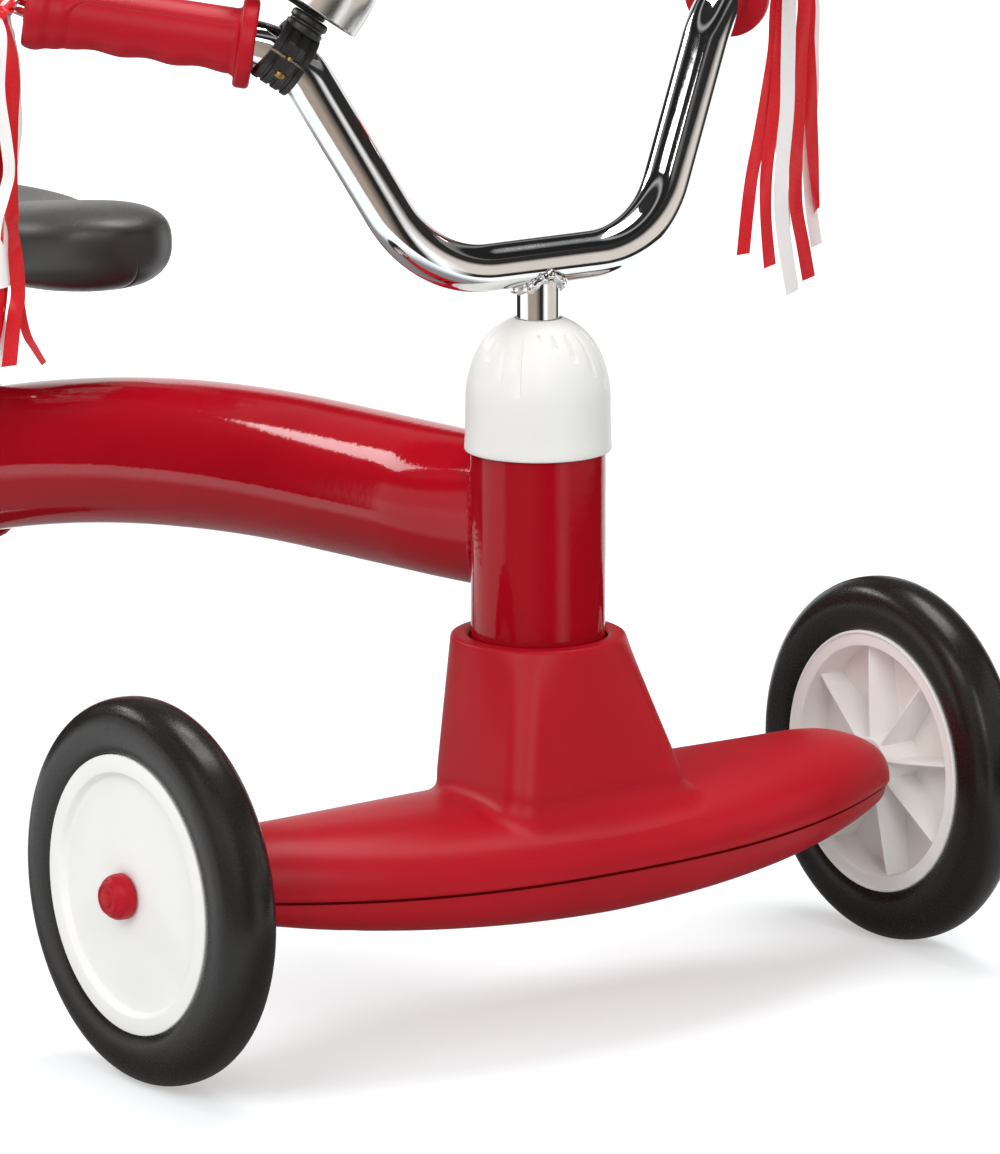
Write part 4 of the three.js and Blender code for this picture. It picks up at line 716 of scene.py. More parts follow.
def shell_ray(rim_x, rim_back):
    far = math.hypot(rim_x, rim_back)
    way_x, way_back = rim_x / far, rim_back / far
    angle = math.atan2(rim_back, rim_x)
    foot = foot_reach(angle)

    def arch_height(reach):
        rise = arch_rise(way_x * reach, way_back * reach)
        return UPPER_SEAM + rise + seam_rise(way_x * reach) * (1 - 0.6 * rise / CROWN)

    def wall_reach(z):
        share = max(0, z - WALL_FOOT) / (COLLAR_TOP - WALL_FOOT)
        return foot + (COLLAR_REACH - foot) * share

    line = eased([(COLLAR_BORE, 146), (COLLAR_BORE, COLLAR_TOP), (COLLAR_REACH, COLLAR_TOP),
                  (wall_reach(COLLAR_FOOT), COLLAR_FOOT)], 1.6, 4)
    meets = min(foot, far - 1.0)
    corner = arch_height(meets)
    front = (1 - way_back) / 2
    blend = min(2.5 + 9 * front, 0.72 * (far - meets))
    climb = 3.0 + 8 * front
    wall_end = corner + climb
    for k in range(1, 17):
        z = COLLAR_FOOT + (wall_end - COLLAR_FOOT) * k / 16
        line.append(Vector((wall_reach(z), z)))
    start = Vector((wall_reach(wall_end), wall_end))
    middle = Vector((meets, corner))
    end = Vector((meets + blend, arch_height(meets + blend)))
    for k in range(1, 13):
        t = k / 12
        line.append(start * (1 - t) ** 2 + middle * 2 * t * (1 - t) + end * t * t)
    for k in range(1, 31):
        t = k / 30
        reach = meets + blend + (far - meets - blend) * (1 - (1 - t) ** 2)
        line.append(Vector((reach, arch_height(reach))))
    seam = 70.72 + seam_rise(rim_x)
    line += [Vector((far - 0.25, seam)), Vector((far - 2.6, seam)), Vector((far - 3.0, seam + 1.8))]
    return [at(way_x * reach, way_back * reach, z) for reach, z in line]


# %% Skin the upper shell
rays = [shell_ray(x, back) for x, back in rim]
points, faces = skin(rays + [rays[0]], closed=False)
housing = make_piece("housing_upper_skin", points, faces, moulded_red, "housing_upper", sharp=60)
print("upper shell:", len(housing.data.polygons), "faces")

# %% [markdown]
# ### The lower shell
# The lower shell is a shallow pan, squarer in section, with a rounded edge just inside the parting
# groove. Nothing grows out of it, so plain cross-sections along the length are enough.

# %% Skin the lower shell
pan = []
for k in range(121):
    x = (HALF_LENGTH - 1.2) * math.sin(math.pi * (k / 120 - 0.5)) * 0.9995
    front, rear = shell_edges(x, 1.2)
    middle, half = (front + rear) / 2, max((rear - front) / 2, 0.02)
    seam = 69.25 + seam_rise(x)
    depth = 22.25 * (1 - (abs(x) / HALF_LENGTH) ** 1.6) ** (1 / 1.6) + seam_rise(x)
    ring = []
    for j in range(37):
        angle = math.pi * j / 36
        across = -math.copysign(abs(math.cos(angle)) ** (2 / 3.2), math.cos(angle))
        narrow = 1 - 0.05 * math.sin(angle)
        fall = depth * math.sin(angle) ** (2 / 3.2)
        ring.append(at(x, middle + half * across * narrow, seam - fall))
    lip = min(2.4, half * 0.8)
    ring += [at(x, middle + half - lip, seam), at(x, middle + half - lip, seam + 1.65),
             at(x, middle - half + lip, seam + 1.65), at(x, middle - half + lip, seam)]
    pan.append(ring)
lower_shell = make_piece("housing_lower_skin", *skin(pan), moulded_red, "housing_lower", sharp=50)
print("lower shell sections:", len(pan))

# %% Screws from below, each in its socket
SCREW_PLACES, SCREW_BACK = (-112.4, -56.2, 56.2, 112.4), -29.5
SOCKET_RADIUS, SOCKET_TOP = 4.4, 61.4
socket_profile = [(0, 40), (SOCKET_RADIUS, 40), (SOCKET_RADIUS, SOCKET_TOP), (0, SOCKET_TOP)]
bore(lower_shell, several(*[
    turned(socket_profile, at(x, SCREW_BACK, 0), Z_WAY, 32, closed=False) for x in SCREW_PLACES
]), 50)
for i, x in enumerate(SCREW_PLACES):
    low = 58.4 if abs(x) > 100 else 56.2
    head = eased([(0, low + 0.8), (1.4, low + 0.8), (1.6, low), (3.0, low), (3.6, low + 0.8),
                  (3.6, low + 2.4), (1.8, low + 2.4), (1.8, 78.5), (0, 78.5)], 0.4)
    turn_piece(f"housing_screw_{i + 1}", head, at(x, SCREW_BACK, 0), Z_WAY, 24, zinc, closed=False)
print("screws: 4")

# %% [markdown]
# ## Head tube and white cap
# The head tube is a plain painted pipe. The cap is a moulded dome with narrow folds pressed into
# its shoulder, one edge of each sharp and the other soft. They come in fans of five, each fold
# longer than the one before. They could be cut, but a lathe with enough points can simply be drawn
# in where a fold passes.

# %% Head tube
tube_profile = [(24.75, 112), (26.4, 112), (26.75, 112.4), (26.75, 253.6), (26.4, 254),
                (24.75, 254)]
turn_piece("head_tube", tube_profile, at(0, 0, 0), Z_WAY, 128, paint_red)
print("head tube: 142 mm")


# %% Fluted cap
FOLD_TOP, FOLD_ENDS = 277.5, (254.5, 275.0, 271.5, 267.0, 260.5)
FOLD_DEPTH = 1.25


def fold_depth(angle, z):
    """Twenty narrow folds in four fans of five. All start near the mouth, and each is longer than
    the last."""
    turn = (angle - math.radians(-145)) / (2 * math.pi) * 20
    number = round(turn)
    across = turn - number
    end = FOLD_ENDS[number % 5]
    along = (FOLD_TOP - z) / (FOLD_TOP - end)
    if not 0 < along < 1:
        return 0.0
    width = 0.16 + 0.16 * along
    place = across / width
    if abs(place) >= 1:
        return 0.0
    slant = ((place + 1) / 1.78) ** 1.6 if place < 0.78 else (1 - place) / 0.22
    return FOLD_DEPTH * slant * min(1, along * 5, (1 - along) * 4) ** 0.7


def curve_through(stops, steps):
    """A smooth line through a few stops, each a point of any number of sizes."""
    stops = [Vector(s) for s in stops]
    line = []
    for i in range(len(stops) - 1):
        a, b = stops[i], stops[i + 1]
        before, after = stops[max(i - 1, 0)], stops[min(i + 2, len(stops) - 1)]
        for k in range(steps):
            t = k / steps
            curved = 2 * before - 5 * a + 4 * b - after
            line.append(0.5 * (2 * a + (b - before) * t + curved * t * t
                               + (3 * a - before - 3 * b + after) * t ** 3))
    return line + [stops[-1]]


dome = curve_through([
    (28.8, 250.0), (28.55, 254.5), (27.8, 258.5), (26.5, 263.4), (24.6, 268.0), (22.3, 272.0),
    (19.4, 275.5), (16.0, 278.4), (12.4, 280.5), (9.9, 281.6),
], 12)
cap_line = [(27.2, 229.2, 0), (28.5, 228.8, 0), (29.0, 229.0, 0), (29.25, 229.6, 0),
            (29.15, 231.5, 0), (28.95, 234.0, 0), (28.85, 238.0, 0), (28.8, 244.0, 0)]
cap_line += [(radius, z, 1) for radius, z in dome]
cap_line += [(9.5, 281.7, 0), (9.2, 281.2, 0), (9.1, 278.5, 0), (15, 272, 0), (22, 259, 0)]
cap_rings = []
for radius, z, folded in cap_line:
    ring = []
    for angle in angles_round(720):
        reach = radius - fold_depth(angle, z) * folded
        ring.append(at(reach * math.cos(angle), reach * math.sin(angle), z))
    cap_rings.append(ring)
points, faces = skin(cap_rings, capped=False)
make_piece("head_cap_skin", points, faces, cap_white, "head_cap", sharp=50)
print("cap rings:", len(cap_rings))

# %% [markdown]
# ## The main beam
# One fat tube, almost straight from the head tube and then one long even bend down to the fork.
# Its front is squeezed narrower, so that it wraps on to the thinner head tube.

# %% Beam
SLOPE = math.radians(2.23)
FRONT_HEIGHT, STRAIGHT = 199.5, 150
FORK_LEAN = math.radians(50)
fork_down = Vector((0, math.cos(FORK_LEAN), -math.sin(FORK_LEAN)))
fork_up = Vector((0, math.sin(FORK_LEAN), math.cos(FORK_LEAN)))
rear_axle = Vector((0, REAR_AXLE_Y, AXLE_HEIGHT)) * MM
crown_place = rear_axle - fork_down * 85 * MM + fork_up * 7 * MM
bend_start = at(0, STRAIGHT * math.cos(SLOPE), FRONT_HEIGHT - STRAIGHT * math.sin(SLOPE))
chord = crown_place - bend_start
BEND = chord.length / MM / (2 * math.sin(math.atan2(-chord.z, chord.y) - SLOPE))


def beam_place(run):
    bent = max(0, run - STRAIGHT) / BEND
    straight = min(run, STRAIGHT)
    back = straight * math.cos(SLOPE) + BEND * (math.sin(SLOPE + bent) - math.sin(SLOPE))
    fall = straight * math.sin(SLOPE) + BEND * (math.cos(SLOPE) - math.cos(SLOPE + bent))
    return at(0, back, FRONT_HEIGHT - fall), SLOPE + bent


def beam_ring(run):
    place, fall = beam_place(run)
    half = 22.5 + 9 * eased_step(run, 70)
    rise = 30 + 1.5 * min(1, run / 250)
    up = Vector((0, math.sin(fall), math.cos(fall)))
    return [place + (X_WAY * (half * math.cos(a)) + up * rise * math.sin(a)) * MM
            for a in angles_round(96)]


rings = [beam_ring(12 + 421 * k / 114) for k in range(115)]
ahead = (beam_place(458)[0] - beam_place(433)[0]).normalized()
to_crown = [(crown_place - p).dot(fork_down) / ahead.dot(fork_down) for p in rings[-1]]
rings.append([p + ahead * reach for p, reach in zip(rings[-1], to_crown)])
make_piece("main_beam_skin", *skin(rings), paint_red, "main_beam")
print("beam sections:", len(rings), "bend radius", round(BEND))

# %% [markdown]
# Where the beam meets the head tube there is a weld under the paint, a row of overlapping puddles.
# A thin tube is swept along the curve where the two pipes meet, and its radius goes up and down.

# %% Weld round the beam's front
weld_route = []
for k in range(241):
    angle = 2 * math.pi * k / 240
    x = 22.9 * math.cos(angle)
    weld_route.append(at(x, math.sqrt(26.9 ** 2 - x * x) + 0.3, 198.6 + 29.8 * math.sin(angle)))


PUDDLES = 44


def puddles(share):
    beat = abs(math.sin(math.pi * PUDDLES * share))
    under_cap = max(0, math.sin(2 * math.pi * share)) ** 12
    rough = 0.4 * noise.noise(Vector((share * 31, 2.0, 0)))
    return (1.1 + 0.35 * beat + rough) * (1 - 0.7 * under_cap)


make_piece("beam_weld", *swept(weld_route, puddles, 12), paint_red, "main_beam")
print("weld puddles:", PUDDLES)

# %% [markdown]
# ## The handlebar bow
# A chromed tube bent four times. The drawing gives corners and bend radii, as it does to the tube
# bender, so the route is straight runs joined by true arcs. A spline through the same corners
# would bulge between them, and chrome shows such a thing at once.


# %% Route of straight runs and arcs
def bent_route(corners, bends, arc_steps=20):
    route = [corners[0]]
    for corner, before, after, bend in zip(corners[1:-1], corners, corners[2:], bends):
        come, go = (corner - before).normalized(), (after - corner).normalized()
        turn = come.angle(go)
        start = corner - come * bend * MM * math.tan(turn / 2)
        hinge = come.cross(go).normalized()
        centre = start + hinge.cross(come) * bend * MM
        for k in range(arc_steps + 1):
            swing = Matrix.Rotation(turn * k / arc_steps, 3, hinge)
            route.append(centre + swing @ (start - centre))
    return route + [corners[-1]]


BAR_STOPS = ((54, 0, 304), (102.3, 21, 394), (183.5, 77, 409.6))
LOW_BEND, HIGH_BEND, BAR_RADIUS = 48, 34, 9.5


def bar_stop(side, number):
    x, back, z = BAR_STOPS[number]
    return at(side * x, back, z)


bar_corners = [bar_stop(s, n) for s, n in ((-1, 2), (-1, 1), (-1, 0), (1, 0), (1, 1), (1, 2))]
bar_route = bent_route(bar_corners, (HIGH_BEND, LOW_BEND, LOW_BEND, HIGH_BEND))
filled = [bar_route[0]]
for a, b in zip(bar_route, bar_route[1:]):
    pieces_between = max(1, int((b - a).length / 0.006))
    filled += [a.lerp(b, k / pieces_between) for k in range(1, pieces_between + 1)]
make_piece("handlebar_skin", *swept(filled, BAR_RADIUS, 64), chrome, "handlebar")
bar_length = sum((b - a).length for a, b in zip(filled, filled[1:]))
print("bar length:", round(bar_length / MM), "mm")

# %% [markdown]
# ### Stem and its weld
# The stem is chromed with the bow, weld and all. Chromed weld stays lumpy, so the bead is a tube
# along the curve where stem and bow meet, with its radius and its path both roughened by noise.

# %% Stem
stem_profile = [(6.5, 86), (8.2, 86), (8.5, 86.4), (8.5, 297.5), (6.5, 297.5)]
turn_piece("stem", stem_profile, at(0, 0, 0), Z_WAY, 64, chrome)
lump_route = []
for k in range(181):
    angle = 2 * math.pi * k / 180
    x, back = 9.1 * math.cos(angle), 8.9 * math.sin(angle)
    under_bar = 304 - math.sqrt(max(9.4 ** 2 - back * back, 4))
    wander = noise.noise(Vector((math.cos(angle) * 2.2, math.sin(angle) * 2.2, 4.0)))
    lump_route.append(at(x * (1 + 0.10 * wander), back * (1 + 0.06 * wander),
                         under_bar - 0.9 + 0.9 * wander))


def lumps(share):
    angle = 2 * math.pi * share
    rough = noise.noise(Vector((math.cos(angle) * 4.5, math.sin(angle) * 4.5, 9.0)))
    return 2.1 + 1.3 * rough


weld_bead = swept(lump_route, lumps, 16)
noise.seed_set(5)  # without a seed, noise_vector starts from the clock
bead_points = []
for p in weld_bead[0]:
    jitter = noise.noise_vector(p * 420) * 0.00045
    bead_points.append(p + jitter)
make_piece("stem_weld", bead_points, weld_bead[1], chrome, "stem", sharp=80)
print("stem and weld done")

# %% [markdown]
# ## Grips
# Each grip is a moulded sleeve with a round stop flange, finger waves underneath and a thick
# collar at its tip. Its sides are sunk panels that end at a ridge along the top. A ring's radius
# depends on the direction as well as on the place along the bar, which a lathe can't do but a
# loft can.


# %% A grip's own directions
def grip_frame(side):
    end, corner = bar_stop(side, 2), bar_stop(side, 1)
    out = (end - corner).normalized()
    across = out.cross(Z_WAY).normalized()
    return corner, out, across, across.cross(out), (end - corner).length / MM


# %% How far the grip's side panel and finger dents lie below its skin
GRIP_RADIUS, PANEL_RADIUS = 12.9, 12.2


def away_from(angle, middle):
    """How far an angle is from another, either way round."""
    return abs((angle - middle + math.pi) % (2 * math.pi) - math.pi)


def panel_depth(angle, from_tip):
    """The panel starts below a ridge along the top and before a thick collar at the tip."""
    down = (away_from(angle, math.pi / 2) - 0.84) * PANEL_RADIUS
    along, corner = from_tip - 15.8, 9.0
    inside = min(along, down)
    if along < corner and down < corner:
        inside = corner - math.hypot(corner - along, corner - down)
    return 0.75 * eased_step(inside, 0.9)


def dent_depth(angle, from_tip):
    """Three shallow dents on each side of the finger waves."""
    aside = (away_from(angle, -math.pi / 2) - 0.72) * PANEL_RADIUS / 1.5
    return sum(0.5 * math.exp(-((from_tip - place) / 3.6) ** 4 - aside ** 4)
               for place in (29.8, 51, 72.3))


# %% Loft the grips
def make_grip(name, side):
    corner, out, across, up, length = grip_frame(side)
    tip = length + 3
    outline = eased([(14, 10.2), (14, 17.5), (20.4, 17.5), (20.6, 13.4), (22.4, GRIP_RADIUS)],
                    1.9, 5)
    outline += [Vector((22.4 + (tip - 17 - 22.4) * k / 110, GRIP_RADIUS)) for k in range(1, 111)]
    outline += eased([(tip - 16, GRIP_RADIUS), (tip - 13.5, 13.5), (tip - 9.5, 13.7),
                      (tip - 6.5, 14.8), (tip - 3.5, 14.9), (tip, 13.8), (tip, 6.6),
                      (tip - 3, 6.6)], 1.6, 5)
    rings = []
    for along, radius in outline:
        from_tip = tip - along
        on_body = 21.5 < along < tip - 0.6
        wave = 0.0
        if 17 < from_tip < tip - 22:
            wave = 0.55 * math.sin(2 * math.pi * (from_tip - 22.8) / 20.6)
        ring = []
        for angle in angles_round(144):
            under = max(0, -math.sin(angle)) ** 0.8
            reach = radius - wave * under
            if on_body:
                reach -= panel_depth(angle, from_tip) + dent_depth(angle, from_tip)
            way = across * math.cos(angle) + up * math.sin(angle)
            ring.append(corner + (out * along + way * reach) * MM)
        rings.append(ring)
    make_piece(f"grip_{name}_skin", *skin(rings), moulded_red, f"grip_{name}", sharp=60)


make_grip("left", 1)
make_grip("right", -1)
print("grips: 2")

# %% [markdown]
# ## The bell
# The bell sits in the bow's upper bend, on a split clamp. Everything on it follows three
# directions: along the bar, up through the bell's post, and across both. Working in these
# directions keeps the sums plain, and one matrix carries every piece to its place.

# %% The bell's directions
high, low, end = bar_stop(-1, 1), bar_stop(-1, 0), bar_stop(-1, 2)
outward, downward = (end - high).normalized(), (low - high).normalized()
bell_along = (outward - downward).normalized()
inside = (outward + downward).normalized()
bend_turn = math.pi - outward.angle(downward)
bell_place = high + inside * HIGH_BEND * (1 / math.cos(bend_turn / 2) - 1) * MM
bell_rise = Vector((0.621, -0.239, 0.746))
bell_rise = (bell_rise - bell_along * bell_rise.dot(bell_along)).normalized()
bell_aside = -bell_rise.cross(bell_along)


def on_bell(along, aside, rise):
    return bell_place + (bell_along * along + bell_aside * aside + bell_rise * rise) * MM


print("bell at", [round(v, 4) for v in bell_place])

# %% Dome and post
DOME_RADIUS, DOME_MOUTH, DOME_RISE, DOME_POWER = 18.1, 21.2, 23.5, 4.2
HOLLOW_RADIUS, HOLLOW_RISE = 16.9, 22.3
dome_outline = []
for k in range(29):
    reach = math.sin(math.pi / 2 * k / 28) ** (2 / DOME_POWER)
    if DOME_RADIUS * reach > 3.2:
        rise = DOME_RISE * (1 - reach ** DOME_POWER) ** (1 / DOME_POWER)
        dome_outline.append((DOME_RADIUS * reach, DOME_MOUTH + rise))
inner_outline = [
    (r * HOLLOW_RADIUS / DOME_RADIUS, DOME_MOUTH + (z - DOME_MOUTH) * HOLLOW_RISE / DOME_RISE)
    for r, z in reversed(dome_outline)]
dome_outline = [(2.6, 44.7)] + dome_outline + [(17.9, 21.0), (17.1, 21.0)] + inner_outline
turn_piece("bell_dome", dome_outline, bell_place, bell_rise, 112, brushed_chrome)
post_outline = eased([(0, 14.4), (2.2, 14.4), (2.2, 21.1), (4.4, 21.1), (4.4, 43.2), (2.2, 43.2),
                      (2.2, 45.0), (4.3, 45.0), (4.0, 46.6), (1.2, 47.6), (0, 47.7)], 0.5)
turn_piece("bell_post", post_outline, bell_place, bell_rise, 40, zinc, closed=False)
print("dome points:", len(dome_outline))


# %% Half clamp with ribbed bands
def half_clamp(way):
    """The clamp's ring on one side of its split, with bands round it, and two lugs."""
    inner, outer = 9.8, 12.6
    bands = [(-7.8, inner), (-7.8, outer - 0.4), (-7.4, outer)]
    for k in range(3):
        start = -5.4 + k * 4.4
        bands += [(start, outer), (start + 0.3, outer - 0.7), (start + 1.4, outer - 0.7),
                  (start + 1.7, outer)]
    bands += [(7.4, outer), (7.8, outer - 0.4), (7.8, inner)]
    skipped = 0.6 / inner
    rings = []
    for k in range(41):
        angle = skipped + (math.pi - 2 * skipped) * k / 40
        rings.append([on_bell(x, math.cos(angle) * r, way * math.sin(angle) * r) for x, r in bands])
    parts = [skin(rings)]
    for hand in (1, -1):
        near, far, wide = 10.4, 15.6, 3.9
        lug = []
        for rise in (0.6, 1.0, 5.6, 6.0):
            shrink = 0.4 if rise in (0.6, 6.0) else 0.0
            corners = [(-wide + shrink, near), (wide - shrink, near),
                       (wide - shrink, far - 2.4), (wide - 2.4, far - shrink),
                       (-wide + 2.4, far - shrink), (-wide + shrink, far - 2.4)]
            lug.append([on_bell(a, hand * b, way * rise) for a, b in corners])
        parts.append(skin(lug))
    return several(*parts)


# %% Clamp halves, the post's block and the clamp's screw
block_outline = eased([(0, 10.2), (6.6, 10.2), (7.8, 11.4), (7.8, 14.0), (7.0, 14.3), (7.0, 15.4),
                       (7.8, 15.7), (7.8, 17.8), (7.0, 18.7), (0, 18.7)], 0.4)
block = turned(block_outline, bell_place, bell_rise, 56, closed=False)
bracket = several(half_clamp(1), block)
make_piece("bell_bracket_skin", *bracket, clamp_black, "bell_bracket", sharp=35)
make_piece("bell_strap_skin", *half_clamp(-1), clamp_black, "bell_strap", sharp=35)
screw_outline = eased([(0, -8.4), (1.7, -8.4), (2.2, -7.8), (2.2, -6.1), (1.2, -6.1), (1.2, 5.7),
                       (0, 5.7)], 0.3)
turn_piece("bell_screw", screw_outline, on_bell(0, -14.2, 0), bell_rise, 32, brass, closed=False)
print("clamp bands:", 3)

# %% [markdown]
# ### Thumb lever
# The lever is a flat tongue from the post out to a round thumb pad with a hole in it. Its outline
# is drawn flat, then given its thickness, thin under the dome and thick past it.


# %% Lever
def lever_outline(grow):
    outline = []
    for k in range(17):
        angle = math.pi / 2 + math.pi * k / 16
        outline.append(((5 + grow) * math.cos(angle), (5 + grow) * math.sin(angle)))
    outline += [(14, -4.6 - grow), (21, -5.6 - grow)]
    for k in range(21):
        angle = -math.pi * 0.62 + math.pi * 1.24 * k / 20
        outline.append((29 + (8 + grow) * math.cos(angle), (8 + grow) * math.sin(angle)))
    outline += [(21, 5.6 + grow), (14, 4.6 + grow)]
    return outline


def pad_top(x):
    return 20.8 + 3.2 * eased_step(x - 19.2, 2.0)


lever_rings = [[on_bell(x, y, 19.0) for x, y in lever_outline(-0.4)],
               [on_bell(x, y, 19.3) for x, y in lever_outline(0)],
               [on_bell(x, y, pad_top(x) - 0.4) for x, y in lever_outline(0)],
               [on_bell(x, y, pad_top(x)) for x, y in lever_outline(-0.5)]]
lever = make_piece("bell_lever_skin", *skin(lever_rings), clamp_black, "bell_lever", sharp=35)
print("lever faces:", len(lever.data.polygons))

# %% Bore the lever's hole
hole = []
for angle in angles_round(40):
    stretch = 1.7 * math.copysign(1, math.cos(angle)) if abs(math.cos(angle)) > 1e-6 else 0
    hole.append(on_bell(28.5 + stretch + 2.0 * math.cos(angle), 2.0 * math.sin(angle), 19.4))
bore(lever, skin([[p + bell_rise * shift * MM for p in hole] for shift in (-3, 8)]), 35)
print("lever faces after the bore:", len(lever.data.polygons))

# %% [markdown]
# ## Streamers
# Each grip's end holds a bunch of plastic ribbons, red and white. Film like this bends only across
# its width, so a ribbon leaves the grip flat, curls over within a few millimetres and then hangs,
# turning slowly. Each ribbon is a strip along a smooth route with its own twist. Its foot is cut
# on the slant. The routes were placed against the picture, a few points for each: a ray from
# the camera through a place in the picture meets the upright plane that the ribbon hangs in.


# %% A ribbon
FILM, FOOT_SLANT, BETWEEN = 0.16, 1.4, 10


def route_through(stops):
    return curve_through([tuple(p) for p in stops], BETWEEN)


def ribbon(stops, turns, width):
    """Stops are points; turns are the facing of the strip, in degrees, along them."""
    route = route_through(stops)
    facing = [v[0] for v in curve_through([(math.radians(t), 0) for t in turns], BETWEEN)]
    rings = []
    last = len(route) - 1
    for i, point in enumerate(route):
        way = (route[min(i + 1, last)] - route[max(i - 1, 0)]).normalized()
        wide = Vector((math.cos(facing[i]), math.sin(facing[i]), 0))
        wide = (wide - way * wide.dot(way)).normalized()
        thick = way.cross(wide)
        share = i / last
        half = width / 2 * min(1, 0.45 + share * 4)
        cut = FOOT_SLANT * max(0, (share - 0.93) / 0.07)
        curl = 0.12 * width * math.sin(share * 9 + turns[0])
        ring = []
        for face in (1, -1):
            for across in (-face, -face / 2, 0, face / 2, face):
                bow = curl * (1 - across * across) * 0.5 + face * FILM / 2
                end = way * cut * (across - 1) * 0.5
                ring.append(point + (wide * across * half + thick * bow + end) * MM)
        rings.append(ring)
    return skin(rings)


# %% [markdown]
# The two bunches hang differently: the far one fans out, the near one is bunched and twisted. The
# tables give each ribbon's root on the plug, how far back its plane hangs, the columns and rows of
# the picture that it passes, how it is turned along the way, and its width in millimetres. Each
# ribbon has a plane of its own, so that no two cross.

# %% Routes of the ribbons
def root_of(side, aside, rise):
    corner, out, across, up, length = grip_frame(side)
    back = across * -side
    return corner + (out * (length + 1.0) + back * aside + up * rise) * MM, out


PICTURE_WIDTH, PICTURE_HEIGHT, SENSOR = 1000, 1154, 36
FACING = 144


def seen_at(column, row, back):
    """The point, so many millimetres behind the steering line, that the camera shows at a column
    and row of the picture. A place outside the picture works too."""
    focus = portrait.lens / SENSOR * PICTURE_HEIGHT
    right = view_way.cross(Z_WAY).normalized()
    aside = column - PICTURE_WIDTH / 2 + portrait.shift_x * PICTURE_HEIGHT
    rise = PICTURE_HEIGHT / 2 - row + portrait.shift_y * PICTURE_HEIGHT
    ray = view_way * focus + right * aside + right.cross(view_way) * rise
    return camera.location + ray * ((STEERING_Y + back * MM - camera.location.y) / ray.y)


def hung(side, aside, rise, throw, back, *places):
    """From the plug out over a small curl, then down through places of (column, row)."""
    root, out = root_of(side, aside, rise)
    crest = root + (out * throw * 0.5 + Vector((0, 0, 0.8))) * MM
    over = root + (out * throw * 0.95 + Vector((0, 0, -4.5))) * MM
    return [root, crest, over] + [seen_at(column, row, back) for column, row in places]


def turning(first, *then):
    """Facings: a ribbon's own turn at its root, then degrees away from facing the camera."""
    return [first, (first + FACING) / 2] + [FACING + turn for turn in then]


# %% The left bunch
left_red = [
    (hung(1, -4, 1, 7, 81, (779, -10), (774, 50), (766, 100), (759, 140), (752, 175), (747, 215),
          (743, 256)),
     turning(190, 20, 0, -10, 10, 0, 12, -6, 0), 5.4),
    (hung(1, -1, 3, 7, 77, (784, -10), (780, 50), (775, 100), (770, 140), (766, 180), (766, 220),
          (770, 268)),
     turning(180, 30, 10, 0, -14, 0, 10, 24, 10), 5.2),
    (hung(1, 2, -1, 8, 77, (804, -10), (801, 50), (799, 110), (796, 160), (796, 205), (803, 245),
          (809, 280)),
     turning(170, 10, 0, 8, 20, 10, 0, -8, 0), 5.6),
    (hung(1, 5, 2, 8, 82, (807, -10), (808, 40), (810, 80), (811, 120), (813, 155), (815, 185),
          (817, 212)),
     turning(200, 30, 10, 0, 0, 10, 30, 50, 62), 5.6),
]
left_white = [
    (hung(1, 0, 0, 8, 72, (790, -10), (788, 60), (787, 110), (782, 165), (781, 205), (785, 245),
          (793, 294)),
     turning(190, 20, 0, 0, 8, 0, -10, 10, 20), 6.0),
    (hung(1, 4, -3, 8, 86, (812, -8), (813, 50), (813, 90), (808, 150), (809, 185), (812, 215),
          (817, 247)),
     turning(190, 30, 20, 10, 0, 10, 20, 0, 0), 5.0),
    (hung(1, -3, 0, 7, 83, (782, -10), (781, 40), (780, 80), (780, 115), (781, 150), (783, 190),
          (786, 230)),
     turning(180, 30, 10, 0, 20, 10, 0, 10, 20), 4.6),
]
print("left ribbons:", len(left_red) + len(left_white))

# %% The right bunch
right_red = [
    (hung(-1, -3, 2, 13, 75, (11, 60), (10, 105), (10, 158), (11, 205), (13, 230), (16, 263),
          (18, 295), (14, 320), (9, 368)),
     turning(120, -20, -8, 0, 10, 0, 50, 10, -10, 16, 0), 5.8),
    (hung(-1, 1, 1, 12, 77, (15, 70), (14, 120), (13, 170), (14, 225), (18, 265), (20, 300),
          (26, 332), (35, 349), (45, 365)),
     turning(120, -10, 0, 10, 0, -10, 30, 10, 0, -20, -30), 3.4),
    (hung(-1, 4, -2, 14, 82, (-3, 60), (-7, 110), (-8, 170), (-4, 230), (-2, 290), (-6, 340)),
     turning(120, -10, 0, 10, 0, -14, 20, 30), 5.4),
    (hung(-1, -5, -1, 13, 84, (4, 90), (0, 140), (-2, 190), (2, 250), (0, 300), (-8, 350)),
     turning(120, -10, 10, 20, 0, 14, 0, -20), 5.4),
]
right_white = [
    (hung(-1, 0, -3, 15, 84, (8, 34), (3, 70), (2, 110), (5, 150), (0, 200), (-6, 250),
          (-4, 300), (2, 340), (5, 368)),
     turning(110, 30, 0, 10, 20, 0, -10, 0, 10, 0, 10), 5.4),
    (hung(-1, 3, 3, 16, 71, (1, 36), (-1, 90), (6, 140), (9, 172), (3, 198), (-4, 225),
          (-8, 270)),
     turning(110, 30, 20, 10, 0, 20, 0, 10, 10), 4.6),
    (hung(-1, -2, 2, 11, 80, (13, 60), (15, 100), (16, 128), (11, 170), (6, 230), (3, 290)),
     turning(110, 20, 0, 0, 10, 10, 0, 10), 5.0),
]
print("right ribbons:", len(right_red) + len(right_white))


